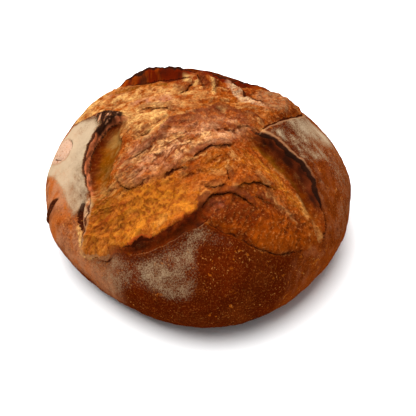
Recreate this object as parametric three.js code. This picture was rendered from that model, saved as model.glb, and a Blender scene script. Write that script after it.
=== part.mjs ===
// A round sourdough loaf, scored with a square of four cuts and baked until it burst open.
//
// The loaf is one closed solid. Its skin is drawn on a crust map: a flat disc whose centre is the top of the
// dome and whose radius is the distance along the skin, so that a cut is a curve (u, v) on the map. A vertex
// of the solid is the dome's point at its place on the map, moved along the skin by the cuts that pass near
// it and lifted off the dome by the relief.
//
// Units are millimetres, +Z is up and the loaf stands on its flat base at z = 0. Seen from above, the front
// of the loaf is at -Y.
import * as THREE from "three";

const { clamp, lerp, smoothstep, degToRad } = THREE.MathUtils;

// ---- Driving dimensions of the baked loaf ----
const MEAN_RADIUS = 119; // half of the loaf's mean width
const DOME_HEIGHT = 108; // the smooth dome, before the burst top is added
const GIRTH_HEIGHT = 41; // height of the widest line
const FOOT_RATIO = 0.8; // radius of the flat base over the loaf's radius
const TOP_OFFSET = { x: 2, y: 12 }; // how far the dome's top lies from the middle of the base

// ---- The dome ----
// Outline of the loaf seen from above: its radius in the direction phi. The square of cuts lets four sides
// give way a little more than the corners.
function outlineRadius(phi) {
  const wave =
    0.007 * Math.sin(phi) +
    0.006 * Math.cos(2 * phi) - 0.03 * Math.sin(2 * phi) +
    0.005 * Math.cos(3 * phi) +
    0.019 * Math.cos(4 * phi) + 0.009 * Math.sin(4 * phi);
  return MEAN_RADIUS * (1 + wave);
}

// The meridian runs from the top over the shoulder to the girth and under it to the base, as two quarter
// ellipses. It is tabled by its own length, so that distances on the crust map are true.
const MERIDIAN_STEPS = 300;
const SHOULDER = { across: 0.92, up: 0.95 }; // powers that make the shoulder a little fuller than an ellipse

function makeMeridian() {
  const points = [];
  for (let i = 0; i <= MERIDIAN_STEPS; i++) {
    const angle = (i / MERIDIAN_STEPS) * (Math.PI / 2);
    const rise = Math.max(0, Math.cos(angle)) ** SHOULDER.up;
    points.push({
      reach: Math.sin(angle) ** SHOULDER.across,
      height: GIRTH_HEIGHT + (DOME_HEIGHT - GIRTH_HEIGHT) * rise,
    });
  }
  for (let i = 1; i <= MERIDIAN_STEPS; i++) {
    const angle = (i / MERIDIAN_STEPS) * (Math.PI / 2);
    points.push({
      reach: FOOT_RATIO + (1 - FOOT_RATIO) * Math.cos(angle),
      height: GIRTH_HEIGHT * (1 - Math.sin(angle)),
    });
  }
  points[0].along = 0;
  for (let i = 1; i < points.length; i++) {
    const [a, b] = [points[i - 1], points[i]];
    b.along = a.along + Math.hypot((b.reach - a.reach) * MEAN_RADIUS, b.height - a.height);
  }
  return points;
}
const meridian = makeMeridian();
const MAP_RADIUS = meridian.at(-1).along;

function meridianAt(along) {
  let low = 0;
  let high = meridian.length - 1;
  while (high - low > 1) {
    const middle = (low + high) >> 1;
    if (meridian[middle].along <= along) low = middle;
    else high = middle;
  }
  const [a, b] = [meridian[low], meridian[high]];
  const share = clamp((along - a.along) / (b.along - a.along), 0, 1);
  return { reach: lerp(a.reach, b.reach, share), height: lerp(a.height, b.height, share) };
}

function domePoint(u, v) {
  const phi = Math.atan2(v, u);
  const { reach, height } = meridianAt(Math.hypot(u, v));
  const radius = reach * outlineRadius(phi);
  const lean = 1 - reach * reach;
  return new THREE.Vector3(
    radius * Math.cos(phi) + TOP_OFFSET.x * lean,
    radius * Math.sin(phi) + TOP_OFFSET.y * lean,
    height,
  );
}

function domeNormal(u, v) {
  const step = 0.5;
  const inside = Math.min(1, (MAP_RADIUS - step) / Math.max(Math.hypot(u, v), step));
  const [x, y] = [u * inside, v * inside];
  const along = domePoint(x + step, y).sub(domePoint(x - step, y));
  const across = domePoint(x, y + step).sub(domePoint(x, y - step));
  return along.cross(across).normalize();
}

// ---- Cross-sections of the cuts ----
// Each row is [distance into the opening, shift further into it, lift off the dome]; the skin ends at
// distance 0. The mesh has vertices along the distances listed as sharp.
// An ear: the skin curls up to its edge, shows its thick cut face and overhangs the groove that the crumb
// rises from.
const EAR = {
  rows: [
    [-34, 0, 0], [-20, 0, 1.4], [-9, 0.4, 4.4], [-3, 1, 7], [0, 1.4, 7.9], [2.5, 1, 7], [6, -0.6, 4.4],
    [9, -2.6, 1.2], [12, -4.8, -2.4], [15, -5.4, -4.8], [19, -3.5, -5.8], [25, -1, -3.4], [33, 0, 0],
  ],
  sharp: [0, 5, 10, 15],
};
// The raised end of a flap that hangs over crumb at its own level.
const STEP = {
  rows: [
    [-24, 0, 0], [-9, 0.2, 3.6], [-3, 0.6, 6.4], [0, 0.8, 7.2], [2, 0.4, 5.6], [4, -0.6, 3], [8, -0.4, 1.6],
    [18, 0, 0.8], [30, 0, 0],
  ],
  sharp: [0, 5],
};
// The front cut: a thin rim of skin, a narrow groove, and the burst dough's brown wall, whose top edge leans
// back over it.
const WALL = {
  rows: [
    [-20, 0, 0], [-6, 0.2, 0.8], [-1, 0.3, 1.9], [1.5, 0.2, 1.2], [4.5, -0.4, -0.2], [8, -0.8, 1.6],
    [12, -1.2, 4.8], [17, -2.6, 9], [20, -2.4, 10.2], [27, -0.4, 7.6], [37, 0, 3], [50, 0, 0],
  ],
  sharp: [0, 5, 18],
};
// The front right cut: the dough swells straight up from under the rim as a round lobe.
const LOBE = {
  rows: [
    [-15, 0, 0], [-1, 0.2, 1.1], [0.8, 0.2, 0.7], [2.2, -0.4, 0.3], [6, -1, 4], [12, -0.8, 6.6], [20, 0, 7.6],
    [34, 0, 4.6], [52, 0, 0],
  ],
  sharp: [0, 4],
};
// A plain edge of skin, with the crumb swelling a little above it.
const RIM = {
  rows: [
    [-14, 0, 0], [-1, 0.2, 1.3], [0.8, 0.2, 0.9], [2.4, -0.2, 0], [6, -0.4, 1.6], [12, -0.2, 2.6],
    [24, 0, 1.6], [40, 0, 0],
  ],
  sharp: [0, 4],
};
// Dough that has spilled over the edge of the skin.
const SPILL = {
  rows: [
    [-12, 0, 0], [-3, -0.2, -0.5], [0, -1, 0], [3, -1.4, 2.2], [6, -0.8, 3.2], [10, -0.3, 2.8], [18, 0, 1.2],
    [30, 0, 0],
  ],
  sharp: [-1, 4],
};
// A torn flake on the burst top: its edge stands up and drops steeply.
const FLAKE = {
  rows: [
    [-16, 0, 0], [-6, 0.3, 1.2], [-1.5, 0.6, 2.6], [1, 0.1, 1.4], [3.5, -0.6, -0.7], [7, -0.3, -0.9], [14, 0, 0],
  ],
  sharp: [-1, 3.5],
};
// The slit that opened at the left ear's foot.
const SLIT = {
  rows: [[-8, 0, 0], [-4, 0.3, 0.6], [0, 0, -5], [4, -0.3, 0.6], [8, 0, 0]],
  sharp: [0],
};

// Cubic Hermite reading of a cross-section, which is zero outside its rows.
function readSection({ rows }, distance) {
  const last = rows.length - 1;
  if (distance <= rows[0][0] || distance >= rows[last][0]) return { shift: 0, lift: 0 };
  let i = 0;
  while (distance > rows[i + 1][0]) i++;
  const gap = rows[i + 1][0] - rows[i][0];
  const t = (distance - rows[i][0]) / gap;
  const slope = (k, column) => {
    if (k === 0 || k === last) return 0;
    return (rows[k + 1][column] - rows[k - 1][column]) / (rows[k + 1][0] - rows[k - 1][0]);
  };
  const value = (column) =>
    (2 * t ** 3 - 3 * t ** 2 + 1) * rows[i][column] +
    (t ** 3 - 2 * t ** 2 + t) * gap * slope(i, column) +
    (3 * t ** 2 - 2 * t ** 3) * rows[i + 1][column] +
    (t ** 3 - t ** 2) * gap * slope(i + 1, column);
  return { shift: value(1), lift: value(2) };
}

// ---- The cuts and tears ----
// A tear runs through points [u, v, width, height] on the map. Its opening is on its left-hand side, and
// width and height scale its cross-section at that point.
const STRAIGHTS = 8; // straight pieces between two given points

function throughPoints(points) {
  const spline = new THREE.CatmullRomCurve3(points.map(([u, v]) => new THREE.Vector3(u, v, 0)), false, "centripetal");
  const pieces = STRAIGHTS * (points.length - 1);
  return Array.from({ length: pieces + 1 }, (_, i) => {
    const k = Math.min(Math.floor(i / STRAIGHTS), points.length - 2);
    const share = i / STRAIGHTS - k;
    const { x, y } = spline.getPoint(i / pieces);
    return {
      x,
      y,
      width: lerp(points[k][2], points[k + 1][2], share),
      height: lerp(points[k][3], points[k + 1][3], share),
    };
  });
}

const tears = [
  // The front wall, from the left corner to the point where the two front cuts meet.
  [WALL, [
    [-84, -102, 0.5, 0], [-68, -98, 0.6, 0.5], [-57, -102, 0.7, 0.8], [-41, -103, 0.7, 0.9],
    [-28, -101, 0.62, 0.95], [-15, -96, 0.7, 1], [-5, -90, 0.95, 1], [4, -83, 1.1, 0.9], [9, -78, 1.1, 0.5],
    [16, -72, 1.1, 0],
  ]],
  // The front right lobe.
  [LOBE, [
    [-14, -66, 0.8, 0], [-4, -75, 0.8, 0.3], [5, -83, 0.8, 0.6], [12, -88, 0.9, 0.9], [23, -92, 1, 1],
    [34, -95, 1, 1], [50, -98, 1, 1], [66, -97, 1, 0.9], [82, -91, 0.9, 0.8], [95, -83, 0.8, 0.6],
    [107, -73, 0.6, 0.3], [116, -64, 0.5, 0],
  ]],
  // The right ear, from the right-hand end to the flap's tip.
  [EAR, [
    [118, -70, 0.5, 0], [113, -61, 0.6, 0.4], [107, -52, 0.8, 0.75], [99, -45, 0.95, 0.95], [91, -34, 1, 1],
    [78, -23, 1.05, 1.05], [64, -14, 1.1, 1.1], [54, -8, 1.1, 1], [45, -4, 1, 0.5], [36, -2, 0.9, 0],
  ]],
  // The upper edge of the right-hand flap.
  [RIM, [
    [38, -16, 0.8, 0], [46, -8, 0.8, 0.4], [57, 5, 1, 1.2], [69, 16, 1, 1.6], [81, 30, 1, 1.5],
    [90, 45, 1, 1.1], [94, 58, 1, 0.7], [94, 72, 0.9, 0],
  ]],
  // The back ear, in two stretches with a bridge of crumb between them.
  [EAR, [
    [72, 79, 0.6, 0], [58, 73, 0.6, 0.5], [45, 67, 0.62, 0.85], [34, 64, 0.62, 0.9], [17, 64, 0.6, 0.8],
    [8, 66, 0.6, 0.5], [-2, 68, 0.6, 0],
  ]],
  [EAR, [
    [-4, 67, 0.8, 0], [-14, 67, 0.9, 0.9], [-26, 69, 1, 1.05], [-38, 69, 1, 1.05], [-49, 71, 0.9, 0.8],
    [-60, 72, 0.8, 0.5], [-72, 74, 0.7, 0],
  ]],
  // The back left corner, where the dough reached far down the side.
  [RIM, [
    [-68, 76, 0.6, 0], [-87, 72, 0.8, 0.5], [-100, 63, 0.8, 0.5], [-107, 52, 0.8, 0.6], [-103, 44, 0.8, 0.7],
    [-93, 39, 0.8, 0.7], [-82, 36, 0.8, 0.5], [-70, 34, 0.8, 0],
  ]],
  // The curled tip of the left ear, and the ear itself.
  [STEP, [[-90, 38, 0.6, 0], [-80, 36, 0.7, 0.5], [-70, 32, 0.75, 0.8], [-62, 27, 0.7, 0.7], [-54, 21, 0.6, 0]]],
  [EAR, [
    [-54, 26, 0.7, 0], [-61, 24, 0.8, 0.6], [-68, 22.5, 0.9, 1], [-73, 19, 0.95, 1.1], [-77, 12, 0.95, 1],
    [-81, 3, 0.9, 0.9], [-86, -8, 0.85, 0.85], [-89, -20, 0.8, 0.75], [-90, -33, 0.75, 0.6],
    [-88, -45, 0.6, 0.3], [-85, -56, 0.5, 0],
  ]],
  // The front left corner, with the slit beside it.
  [SPILL, [
    [-86, -42, 0.7, 0], [-90, -54, 0.7, 0.6], [-95, -66, 0.8, 0.9], [-101, -76, 0.9, 1], [-107, -84, 1, 1],
    [-104, -90, 1, 1], [-95, -94, 1, 1.1], [-85, -98, 1, 0.8], [-72, -100, 0.8, 0],
  ]],
  [SLIT, [[-97, -50, 1, 0], [-98, -56, 1, 1], [-100, -63, 1, 1], [-103, -71, 1, 0]]],
  // The torn plateau's left edge and its back edge.
  [FLAKE, [
    [-30, -46, 1, 0], [-38, -50, 1, 0.8], [-46, -53, 1, 1], [-56, -54, 1, 1], [-64, -44, 1, 0.9],
    [-61, -30, 1, 0.6], [-54, -16, 1, 0],
  ]],
  [FLAKE, [
    [56, 0, 1, 0], [46, 7, 1, 0.8], [32, 14, 1, 1], [14, 20, 1, 1], [0, 12, 1, 1], [-9, 3, 1, 1], [-21, 2, 1, 1],
    [-24, -7, 1, 1], [-30, -15, 1, 0.9], [-38, -14, 1, 0.7], [-50, -20, 1, 0],
  ]],
  // Smaller flakes, from the back to the front.
  [FLAKE, [[-16, 17, 1, 0], [-24, 20, 1, 0.7], [-36, 22, 1, 0.7], [-48, 24, 1, 0]]],
  [FLAKE, [[30, -23, 1, 0], [22, -20, 1, 0.8], [10, -20, 1, 0.8], [2, -26, 1, 0.8], [-8, -36, 1, 0]]],
  [FLAKE, [[-30, -48, 1, 0], [-23, -43, 1, 0.8], [-16, -42, 1, 0.8], [-8, -43, 1, 0]]],
  [FLAKE, [[64, -42, 1, 0], [54, -45, 1, 0.8], [38, -49, 1, 0.8], [22, -57, 1, 0]]],
  [FLAKE, [[46, -71, 1, 0], [38, -65, 1, 0.8], [28, -61, 1, 1], [18, -60, 1, 1], [9, -64, 1, 0.9], [3, -74, 1, 0]]],
].map(([section, points]) => ({ section, line: throughPoints(points) }));

// The nearest place on a line: the distance from it, positive on its left-hand side, the unit direction on
// the map that leads straight away from it on that side, and its width and height there.
function nearest(line, u, v) {
  let best = { distance: Infinity };
  for (let i = 0; i < line.length - 1; i++) {
    const [a, b] = [line[i], line[i + 1]];
    const [ex, ey] = [b.x - a.x, b.y - a.y];
    const share = clamp(((u - a.x) * ex + (v - a.y) * ey) / (ex * ex + ey * ey), 0, 1);
    const [dx, dy] = [u - a.x - share * ex, v - a.y - share * ey];
    const distance = Math.hypot(dx, dy);
    if (distance < best.distance) best = { distance, side: Math.sign(ex * dy - ey * dx) || 1, ex, ey, a, b, share };
  }
  const length = Math.hypot(best.ex, best.ey);
  return {
    signed: best.side * best.distance,
    normal: [-best.ey / length, best.ex / length],
    width: lerp(best.a.width, best.b.width, best.share),
    height: lerp(best.a.height, best.b.height, best.share),
  };
}

// ---- Swellings between the cuts ----
// Each is an oval on the map: middle, half lengths, turn of its long axis in degrees, and height.
const swellings = [
  { at: [-8, -22], half: [62, 42], turn: 25, height: 5.5 }, // the middle of the burst top
  { at: [62, 28], half: [34, 24], turn: 40, height: 4 }, // the shoulder above the right-hand flap
  { at: [68, 62], half: [22, 13], turn: -35, height: 5 }, // the knob at the back right
  { at: [-3, 60], half: [12, 14], turn: 0, height: 6 }, // the bridge across the back groove
  { at: [-86, -84], half: [26, 14], turn: -20, height: 3 }, // the dough over the front left corner
  { at: [-128, -58], half: [22, 24], turn: 0, height: 4 }, // the bulge low on the left side
];

function swell({ at, half, turn, height }, u, v) {
  const angle = degToRad(turn);
  const [x, y] = [u - at[0], v - at[1]];
  const along = (x * Math.cos(angle) + y * Math.sin(angle)) / half[0];
  const across = (y * Math.cos(angle) - x * Math.sin(angle)) / half[1];
  return height * Math.exp(-(along * along + across * across));
}

// ---- Crags of the torn crumb and unevenness of the skin ----
// The closed edge of the skin: inside it the burst dough shows.
const burstEdge = throughPoints([
  [-76, -100], [-68, -98], [-57, -102], [-41, -103], [-28, -101], [-15, -96], [-5, -90], [4, -83], [12, -88],
  [23, -92], [34, -95], [50, -98], [66, -97], [82, -91], [95, -83], [107, -73], [113, -61], [107, -52],
  [99, -45], [91, -34], [78, -23], [64, -14], [54, -8], [48, -5], [57, 5], [69, 16], [81, 30], [90, 45],
  [92, 58], [80, 72], [58, 73], [45, 67], [34, 64], [17, 64], [8, 66], [-14, 67], [-26, 69], [-38, 69],
  [-49, 71], [-60, 72], [-74, 74], [-87, 72], [-100, 63], [-107, 52], [-103, 44], [-93, 39], [-82, 36],
  [-70, 32], [-61, 25], [-68, 22.5], [-73, 19], [-77, 12], [-81, 3], [-86, -8], [-89, -20], [-90, -33],
  [-88, -45], [-90, -54], [-95, -66], [-101, -76], [-107, -84], [-104, -90], [-95, -94], [-85, -98], [-76, -100],
].map(([u, v]) => [u, v, 1, 1]));

function insideBurst(u, v) {
  let inside = false;
  for (let i = 0; i < burstEdge.length - 1; i++) {
    const [a, b] = [burstEdge[i], burstEdge[i + 1]];
    if (a.y > v !== b.y > v && u < a.x + ((v - a.y) / (b.y - a.y)) * (b.x - a.x)) inside = !inside;
  }
  return inside;
}

// A repeatable value from -1 to 1 for each corner of the lattice.
function lattice(x, y, z) {
  const wave = Math.sin(x * 127.1 + y * 311.7 + z * 74.7) * 43758.5453;
  return 2 * (wave - Math.floor(wave)) - 1;
}

// Smooth noise from -1 to 1, mixed between the eight corners of each unit cell.
function noise({ x, y, z }, size) {
  const place = [x / size, y / size, z / size];
  const [cx, cy, cz] = place.map(Math.floor);
  const [fx, fy, fz] = place.map((p) => p - Math.floor(p)).map((f) => f * f * (3 - 2 * f));
  let sum = 0;
  for (const [i, wx] of [[0, 1 - fx], [1, fx]])
    for (const [j, wy] of [[0, 1 - fy], [1, fy]])
      for (const [k, wz] of [[0, 1 - fz], [1, fz]]) sum += wx * wy * wz * lattice(cx + i, cy + j, cz + k);
  return sum;
}

const CRAG = { size: 13, height: 2.2, margin: 10 }; // torn crumb; crags fade out this near to the skin's edge
const DIMPLE = { size: 44, height: 1.3 }; // slow unevenness of the whole loaf

function crags(point, u, v) {
  if (!insideBurst(u, v)) return 0;
  const fade = smoothstep(Math.abs(nearest(burstEdge, u, v).signed), 0, CRAG.margin);
  return CRAG.height * fade * noise(point, CRAG.size);
}

// ---- The finished surface ----
const PLAIN_FOOT = 30; // the relief dies out over this much of the skin above the base

function surfacePoint(u, v) {
  const above = 1 - smoothstep(Math.hypot(u, v), MAP_RADIUS - PLAIN_FOOT, MAP_RADIUS);
  const plain = domePoint(u, v);
  let [moveU, moveV, lift] = [0, 0, 0];
  for (const { section, line } of tears) {
    const { signed, normal, width, height } = nearest(line, u, v);
    const read = readSection(section, signed / width);
    const shift = read.shift * width * Math.min(height, 1);
    moveU += shift * normal[0];
    moveV += shift * normal[1];
    lift += read.lift * height;
  }
  for (const oval of swellings) lift += swell(oval, u, v);
  lift += crags(plain, u, v) + DIMPLE.height * noise(plain, DIMPLE.size);
  const [x, y] = [u + above * moveU, v + above * moveV];
  return domePoint(x, y).addScaledVector(domeNormal(x, y), above * lift);
}

// ---- The mesh ----
// Ring i of the grid has 8 i vertices round the map's centre. The rings over the burst top are evenly spaced,
// and those down the plain sides lie further and further apart.
const RINGS = { top: 27, all: 38, gap: 4.1 };

function ringRadius(i) {
  const even = RINGS.gap * i;
  if (i <= RINGS.top) return even;
  const left = MAP_RADIUS - RINGS.gap * RINGS.all;
  return even + left * ((i - RINGS.top) / (RINGS.all - RINGS.top)) ** 2;
}

// A vertex near a sharp line of a tear is drawn most of the way onto it, so that the line has clean edges.
const DRAW = { within: 2.05, by: 0.75 };

function drawn(u, v) {
  let nearby = { distance: Infinity };
  for (const { section, line } of tears) {
    const { signed, normal, width, height } = nearest(line, u, v);
    if (height < 0.3) continue;
    for (const sharp of section.sharp) {
      const gap = sharp * width - signed;
      if (Math.abs(gap) < Math.min(DRAW.within, nearby.distance)) nearby = { distance: Math.abs(gap), gap, normal };
    }
  }
  if (nearby.distance === Infinity) return [u, v];
  return [u + DRAW.by * nearby.gap * nearby.normal[0], v + DRAW.by * nearby.gap * nearby.normal[1]];
}

function ringVertices(i) {
  if (i === 0) return [surfacePoint(0, 0)];
  const along = ringRadius(i);
  return Array.from({ length: 8 * i }, (_, k) => {
    const phi = (k / (8 * i)) * 2 * Math.PI;
    const place = [along * Math.cos(phi), along * Math.sin(phi)];
    return surfacePoint(...(i < RINGS.all ? drawn(...place) : place));
  });
}

function loafGeometry() {
  const positions = [];
  const firstOfRing = [];
  for (let i = 0; i <= RINGS.all; i++) {
    firstOfRing.push(positions.length / 3);
    for (const p of ringVertices(i)) positions.push(p.x, p.y, i === RINGS.all ? 0 : p.z);
  }
  const vertex = (ring, k) => firstOfRing[ring] + (ring === 0 ? 0 : k % (8 * ring));
  const index = [];
  for (let i = 1; i <= RINGS.all; i++)
    for (let sector = 0; sector < 8; sector++) {
      const [outer, inner] = [sector * i, sector * (i - 1)];
      for (let k = 0; k < i; k++) {
        index.push(vertex(i, outer + k), vertex(i, outer + k + 1), vertex(i - 1, inner + k));
        if (k < i - 1) index.push(vertex(i, outer + k + 1), vertex(i - 1, inner + k + 1), vertex(i - 1, inner + k));
      }
    }
  // The flat base, as a fan about its middle.
  const middle = positions.length / 3;
  positions.push(0, 0, 0);
  for (let k = 0; k < 8 * RINGS.all; k++) index.push(vertex(RINGS.all, k + 1), vertex(RINGS.all, k), middle);
  const geometry = new THREE.BufferGeometry();
  geometry.setAttribute("position", new THREE.Float32BufferAttribute(positions, 3));
  geometry.setIndex(index);
  // The middle of the loaf's own box stands over the origin.
  geometry.computeBoundingBox();
  const { min, max } = geometry.boundingBox;
  geometry.translate(-(min.x + max.x) / 2, -(min.y + max.y) / 2, 0);
  geometry.computeVertexNormals();
  return geometry;
}

const crust = new THREE.MeshStandardMaterial({ color: 0x9a5626, roughness: 0.7, metalness: 0 });
const loaf = new THREE.Mesh(loafGeometry(), crust);
loaf.name = "loaf";

const group = new THREE.Group();
group.add(loaf);
export default group;
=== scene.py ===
"""A round sourdough loaf with a scored, burst top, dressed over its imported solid.

Shapes are worked out in millimetres on a flat map of the crust, and go into the mesh in metres.
"""

import bpy
import numpy as np
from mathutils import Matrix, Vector


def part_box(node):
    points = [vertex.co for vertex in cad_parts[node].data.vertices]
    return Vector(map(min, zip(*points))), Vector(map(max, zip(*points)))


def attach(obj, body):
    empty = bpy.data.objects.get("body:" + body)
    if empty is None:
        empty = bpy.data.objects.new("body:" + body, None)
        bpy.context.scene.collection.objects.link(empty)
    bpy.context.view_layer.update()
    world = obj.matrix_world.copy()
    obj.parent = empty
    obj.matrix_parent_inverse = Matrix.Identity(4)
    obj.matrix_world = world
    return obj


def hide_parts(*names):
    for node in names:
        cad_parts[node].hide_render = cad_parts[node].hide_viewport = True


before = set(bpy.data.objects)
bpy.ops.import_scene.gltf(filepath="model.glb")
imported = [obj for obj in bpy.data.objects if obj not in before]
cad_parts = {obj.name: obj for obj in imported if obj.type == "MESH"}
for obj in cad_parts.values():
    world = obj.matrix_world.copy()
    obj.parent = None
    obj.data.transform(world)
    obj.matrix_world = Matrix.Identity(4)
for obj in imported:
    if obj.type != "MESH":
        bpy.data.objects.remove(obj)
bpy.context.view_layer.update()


# ---- The proved ball of dough ----
# A kilogram of wheat dough, rounded by hand, proved in a basket and turned out onto a hot stone, where it
# sags to a wide dome on a flat foot. The crust map lays its skin out flat: the middle is the top of the
# dome, and the distance from it is the distance along the skin.

MM = 0.001
MEAN_RADIUS = 119.0
DOME_HEIGHT = 108.0
GIRTH_HEIGHT = 41.0
FOOT_RATIO = 0.8  # radius of the flat foot over the loaf's radius
TOP_OFFSET = (2.0, 12.0)  # how far the dome's top lies from the middle of the foot
SHOULDER = (0.92, 0.95)  # powers that make the shoulder a little fuller than an ellipse
# Waves of the outline seen from above: how many there are in a turn, and their cosine and sine heights.
OUTLINE_WAVES = ((1, 0.0, 0.007), (2, 0.006, -0.03), (3, 0.005, 0.0), (4, 0.019, 0.009))


def meridian(steps=400):
    """Two quarter ellipses, top to girth and girth to foot: distance along, share of the radius, height."""
    angle = np.linspace(0, np.pi / 2, steps)
    over = np.sin(angle) ** SHOULDER[0]
    rise = np.maximum(np.cos(angle), 0) ** SHOULDER[1]
    over_height = GIRTH_HEIGHT + (DOME_HEIGHT - GIRTH_HEIGHT) * rise
    under = FOOT_RATIO + (1 - FOOT_RATIO) * np.cos(angle[1:])
    under_height = GIRTH_HEIGHT * (1 - np.sin(angle[1:]))
    reach = np.concatenate([over, under])
    height = np.concatenate([over_height, under_height])
    pieces = np.hypot(np.diff(reach) * MEAN_RADIUS, np.diff(height))
    return np.concatenate([[0], np.cumsum(pieces)]), reach, height


ALONG, REACH, HEIGHT = meridian()
MAP_RADIUS = ALONG[-1]


def outline_radius(phi):
    """Radius seen from above: a circle with waves that make it lopsided and a little square."""
    wave = np.zeros(np.shape(phi))
    for turns, cosine, sine in OUTLINE_WAVES:
        wave += cosine * np.cos(turns * phi) + sine * np.sin(turns * phi)
    return MEAN_RADIUS * (1 + wave)


def dome(u, v):
    """The dome's point under each place (u, v) of the crust map."""
    along = np.hypot(u, v)
    phi = np.arctan2(v, u)
    reach = np.interp(along, ALONG, REACH)
    radius = reach * outline_radius(phi)
    lean = 1 - reach**2
    x = radius * np.cos(phi) + TOP_OFFSET[0] * lean
    y = radius * np.sin(phi) + TOP_OFFSET[1] * lean
    return np.stack([x, y, np.interp(along, ALONG, HEIGHT)], axis=-1)


def dome_normal(u, v, step=0.5):
    """The direction straight out of the dome, from the cross product of its two slopes."""
    inside = np.minimum(1, (MAP_RADIUS - step) / np.maximum(np.hypot(u, v), step))
    u, v = u * inside, v * inside
    along = dome(u + step, v) - dome(u - step, v)
    across = dome(u, v + step) - dome(u, v - step)
    normal = np.cross(along, across)
    return normal / np.linalg.norm(normal, axis=-1, keepdims=True)


# The map is sampled on a square grid laid onto the disc ring by ring: close and even over the burst top,
# and wider apart down the plain sides.
GRID = 305
EVEN_RINGS = 118
EVEN_GAP = 0.98
RINGS = GRID // 2


def map_grid():
    """Square grid to disc: the larger of |a|, |b| gives the ring, and the other over it gives the angle."""
    side = np.arange(-RINGS, RINGS + 1, dtype=float)
    a, b = np.meshgrid(side, side)
    ring = np.where(np.abs(a) >= np.abs(b), a, b)
    small = np.where(np.abs(a) >= np.abs(b), b, a)
    turn = np.pi / 4 * small / np.where(ring == 0, 1, ring)
    phi = np.where(np.abs(a) >= np.abs(b), turn, np.pi / 2 - turn)
    count = np.abs(ring)
    past = np.maximum(count - EVEN_RINGS, 0) / (RINGS - EVEN_RINGS)
    along = EVEN_GAP * count + (MAP_RADIUS - EVEN_GAP * RINGS) * past**2
    along *= np.sign(ring)
    return along * np.cos(phi), along * np.sin(phi)


U, V = map_grid()


def soften(field, times=1):
    """Binomial blur along both sides of the grid, repeated: 1-2-1 weights over neighbours."""
    for _ in range(times):
        for axis in (0, 1):
            border = [(1, 1) if k == axis else (0, 0) for k in range(field.ndim)]
            padded = np.pad(field, border, mode="edge")
            count = field.shape[axis]
            before = padded.take(range(0, count), axis=axis)
            after = padded.take(range(2, count + 2), axis=axis)
            field = 0.5 * field + 0.25 * (before + after)
    return field


# ---- Unevenness of dough ----
# Dough is never even: gas, folds and the tearing of its fibres leave waves, strands and blisters of all
# sizes. These are the repeatable patterns that stand for them.

LATTICE = np.random.default_rng(11)
SLOPE_COUNT = 256
WRAP = SLOPE_COUNT - 1  # mask that repeats the lattice after so many corners
SHUFFLE = LATTICE.permutation(SLOPE_COUNT)
SLOPES = LATTICE.normal(size=(SLOPE_COUNT, 3))
SLOPES /= np.linalg.norm(SLOPES, axis=1, keepdims=True)
WAVE_HEIGHT = 1.6  # brings the sum of slopes to about -1 to 1
POINT_SPREAD = 0.42  # how far a cell's point may lie from the middle of its square


def waves(x, y, z):
    """Gradient noise, about -1 to 1: each lattice corner's slope, mixed by a fifth-degree ease."""
    place = np.stack(np.broadcast_arrays(x, y, z), axis=-1).astype(float)
    cell = np.floor(place).astype(int)
    part = place - cell
    ease = part**3 * (part * (6 * part - 15) + 10)
    total = np.zeros(place.shape[:-1])
    for corner in np.ndindex(2, 2, 2):
        i, j, k = [(cell[..., axis] + corner[axis]) & WRAP for axis in range(3)]
        slope = SLOPES[SHUFFLE[(SHUFFLE[(SHUFFLE[i] + j) & WRAP] + k) & WRAP]]
        near = np.prod(np.where(np.array(corner) == 1, ease, 1 - ease), axis=-1)
        total += near * ((part - corner) * slope).sum(axis=-1)
    return WAVE_HEIGHT * total


def crumple(u, v, size, seed, octaves=3):
    """Sum of waves, each half as wide and half as high as the one before."""
    total = np.zeros(np.shape(u))
    for octave in range(octaves):
        scale = 2**octave
        total += waves(u * scale / size, v * scale / size, seed + 7.3 * octave) / scale
    return total


def cells(a, b, seed):
    """One random point per unit square: distances to the nearest two, and the nearest's number and offset.

    A point lies off the middle of its square by a share of a slope. The offset is how far b is past it.
    """
    ca, cb = np.floor(a), np.floor(b)
    first, second = np.full((2, *a.shape), np.inf)
    owner, past = np.zeros((2, *a.shape))
    for i, j in np.ndindex(3, 3):
        na, nb = ca + i - 1, cb + j - 1
        pick = SHUFFLE[(SHUFFLE[na.astype(int) & WRAP] + nb.astype(int) + seed) & WRAP]
        pa = a - (na + 0.5 + POINT_SPREAD * SLOPES[pick, 0])
        pb = b - (nb + 0.5 + POINT_SPREAD * SLOPES[pick, 1])
        distance = np.hypot(pa, pb)
        second = np.minimum(second, np.maximum(first, distance))
        closer = distance < first
        owner, past = np.where(closer, (pick, pb), (owner, past))
        first = np.minimum(first, distance)
    return first, second, owner, past


def drawn_number(owner, stride=37):
    """A number from 0 to 1 for each cell's owner: an odd stride times it, wrapped."""
    return (owner * stride % SLOPE_COUNT) / SLOPE_COUNT


def ease_between(low, high, x):
    """0 below low, 1 above high, and a smooth S between them."""
    share = np.clip((x - low) / (high - low), 0, 1)
    return share * share * (3 - 2 * share)


def band(x, low, high, soft):
    """1 between low and high, with soft ends."""
    return ease_between(low - soft, low + soft, x) * (1 - ease_between(high - soft, high + soft, x))


# ---- The score, the ears and the tears ----
# A blade scores the dough in a square of four cuts. In the oven each cut opens: the skin on its outer side
# lifts into a thick dark ear, and the dough inside bursts up past it. A cross-section's rows are
# [distance into the opening, shift further into it, lift off the dome], and the skin ends at distance 0.

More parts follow.
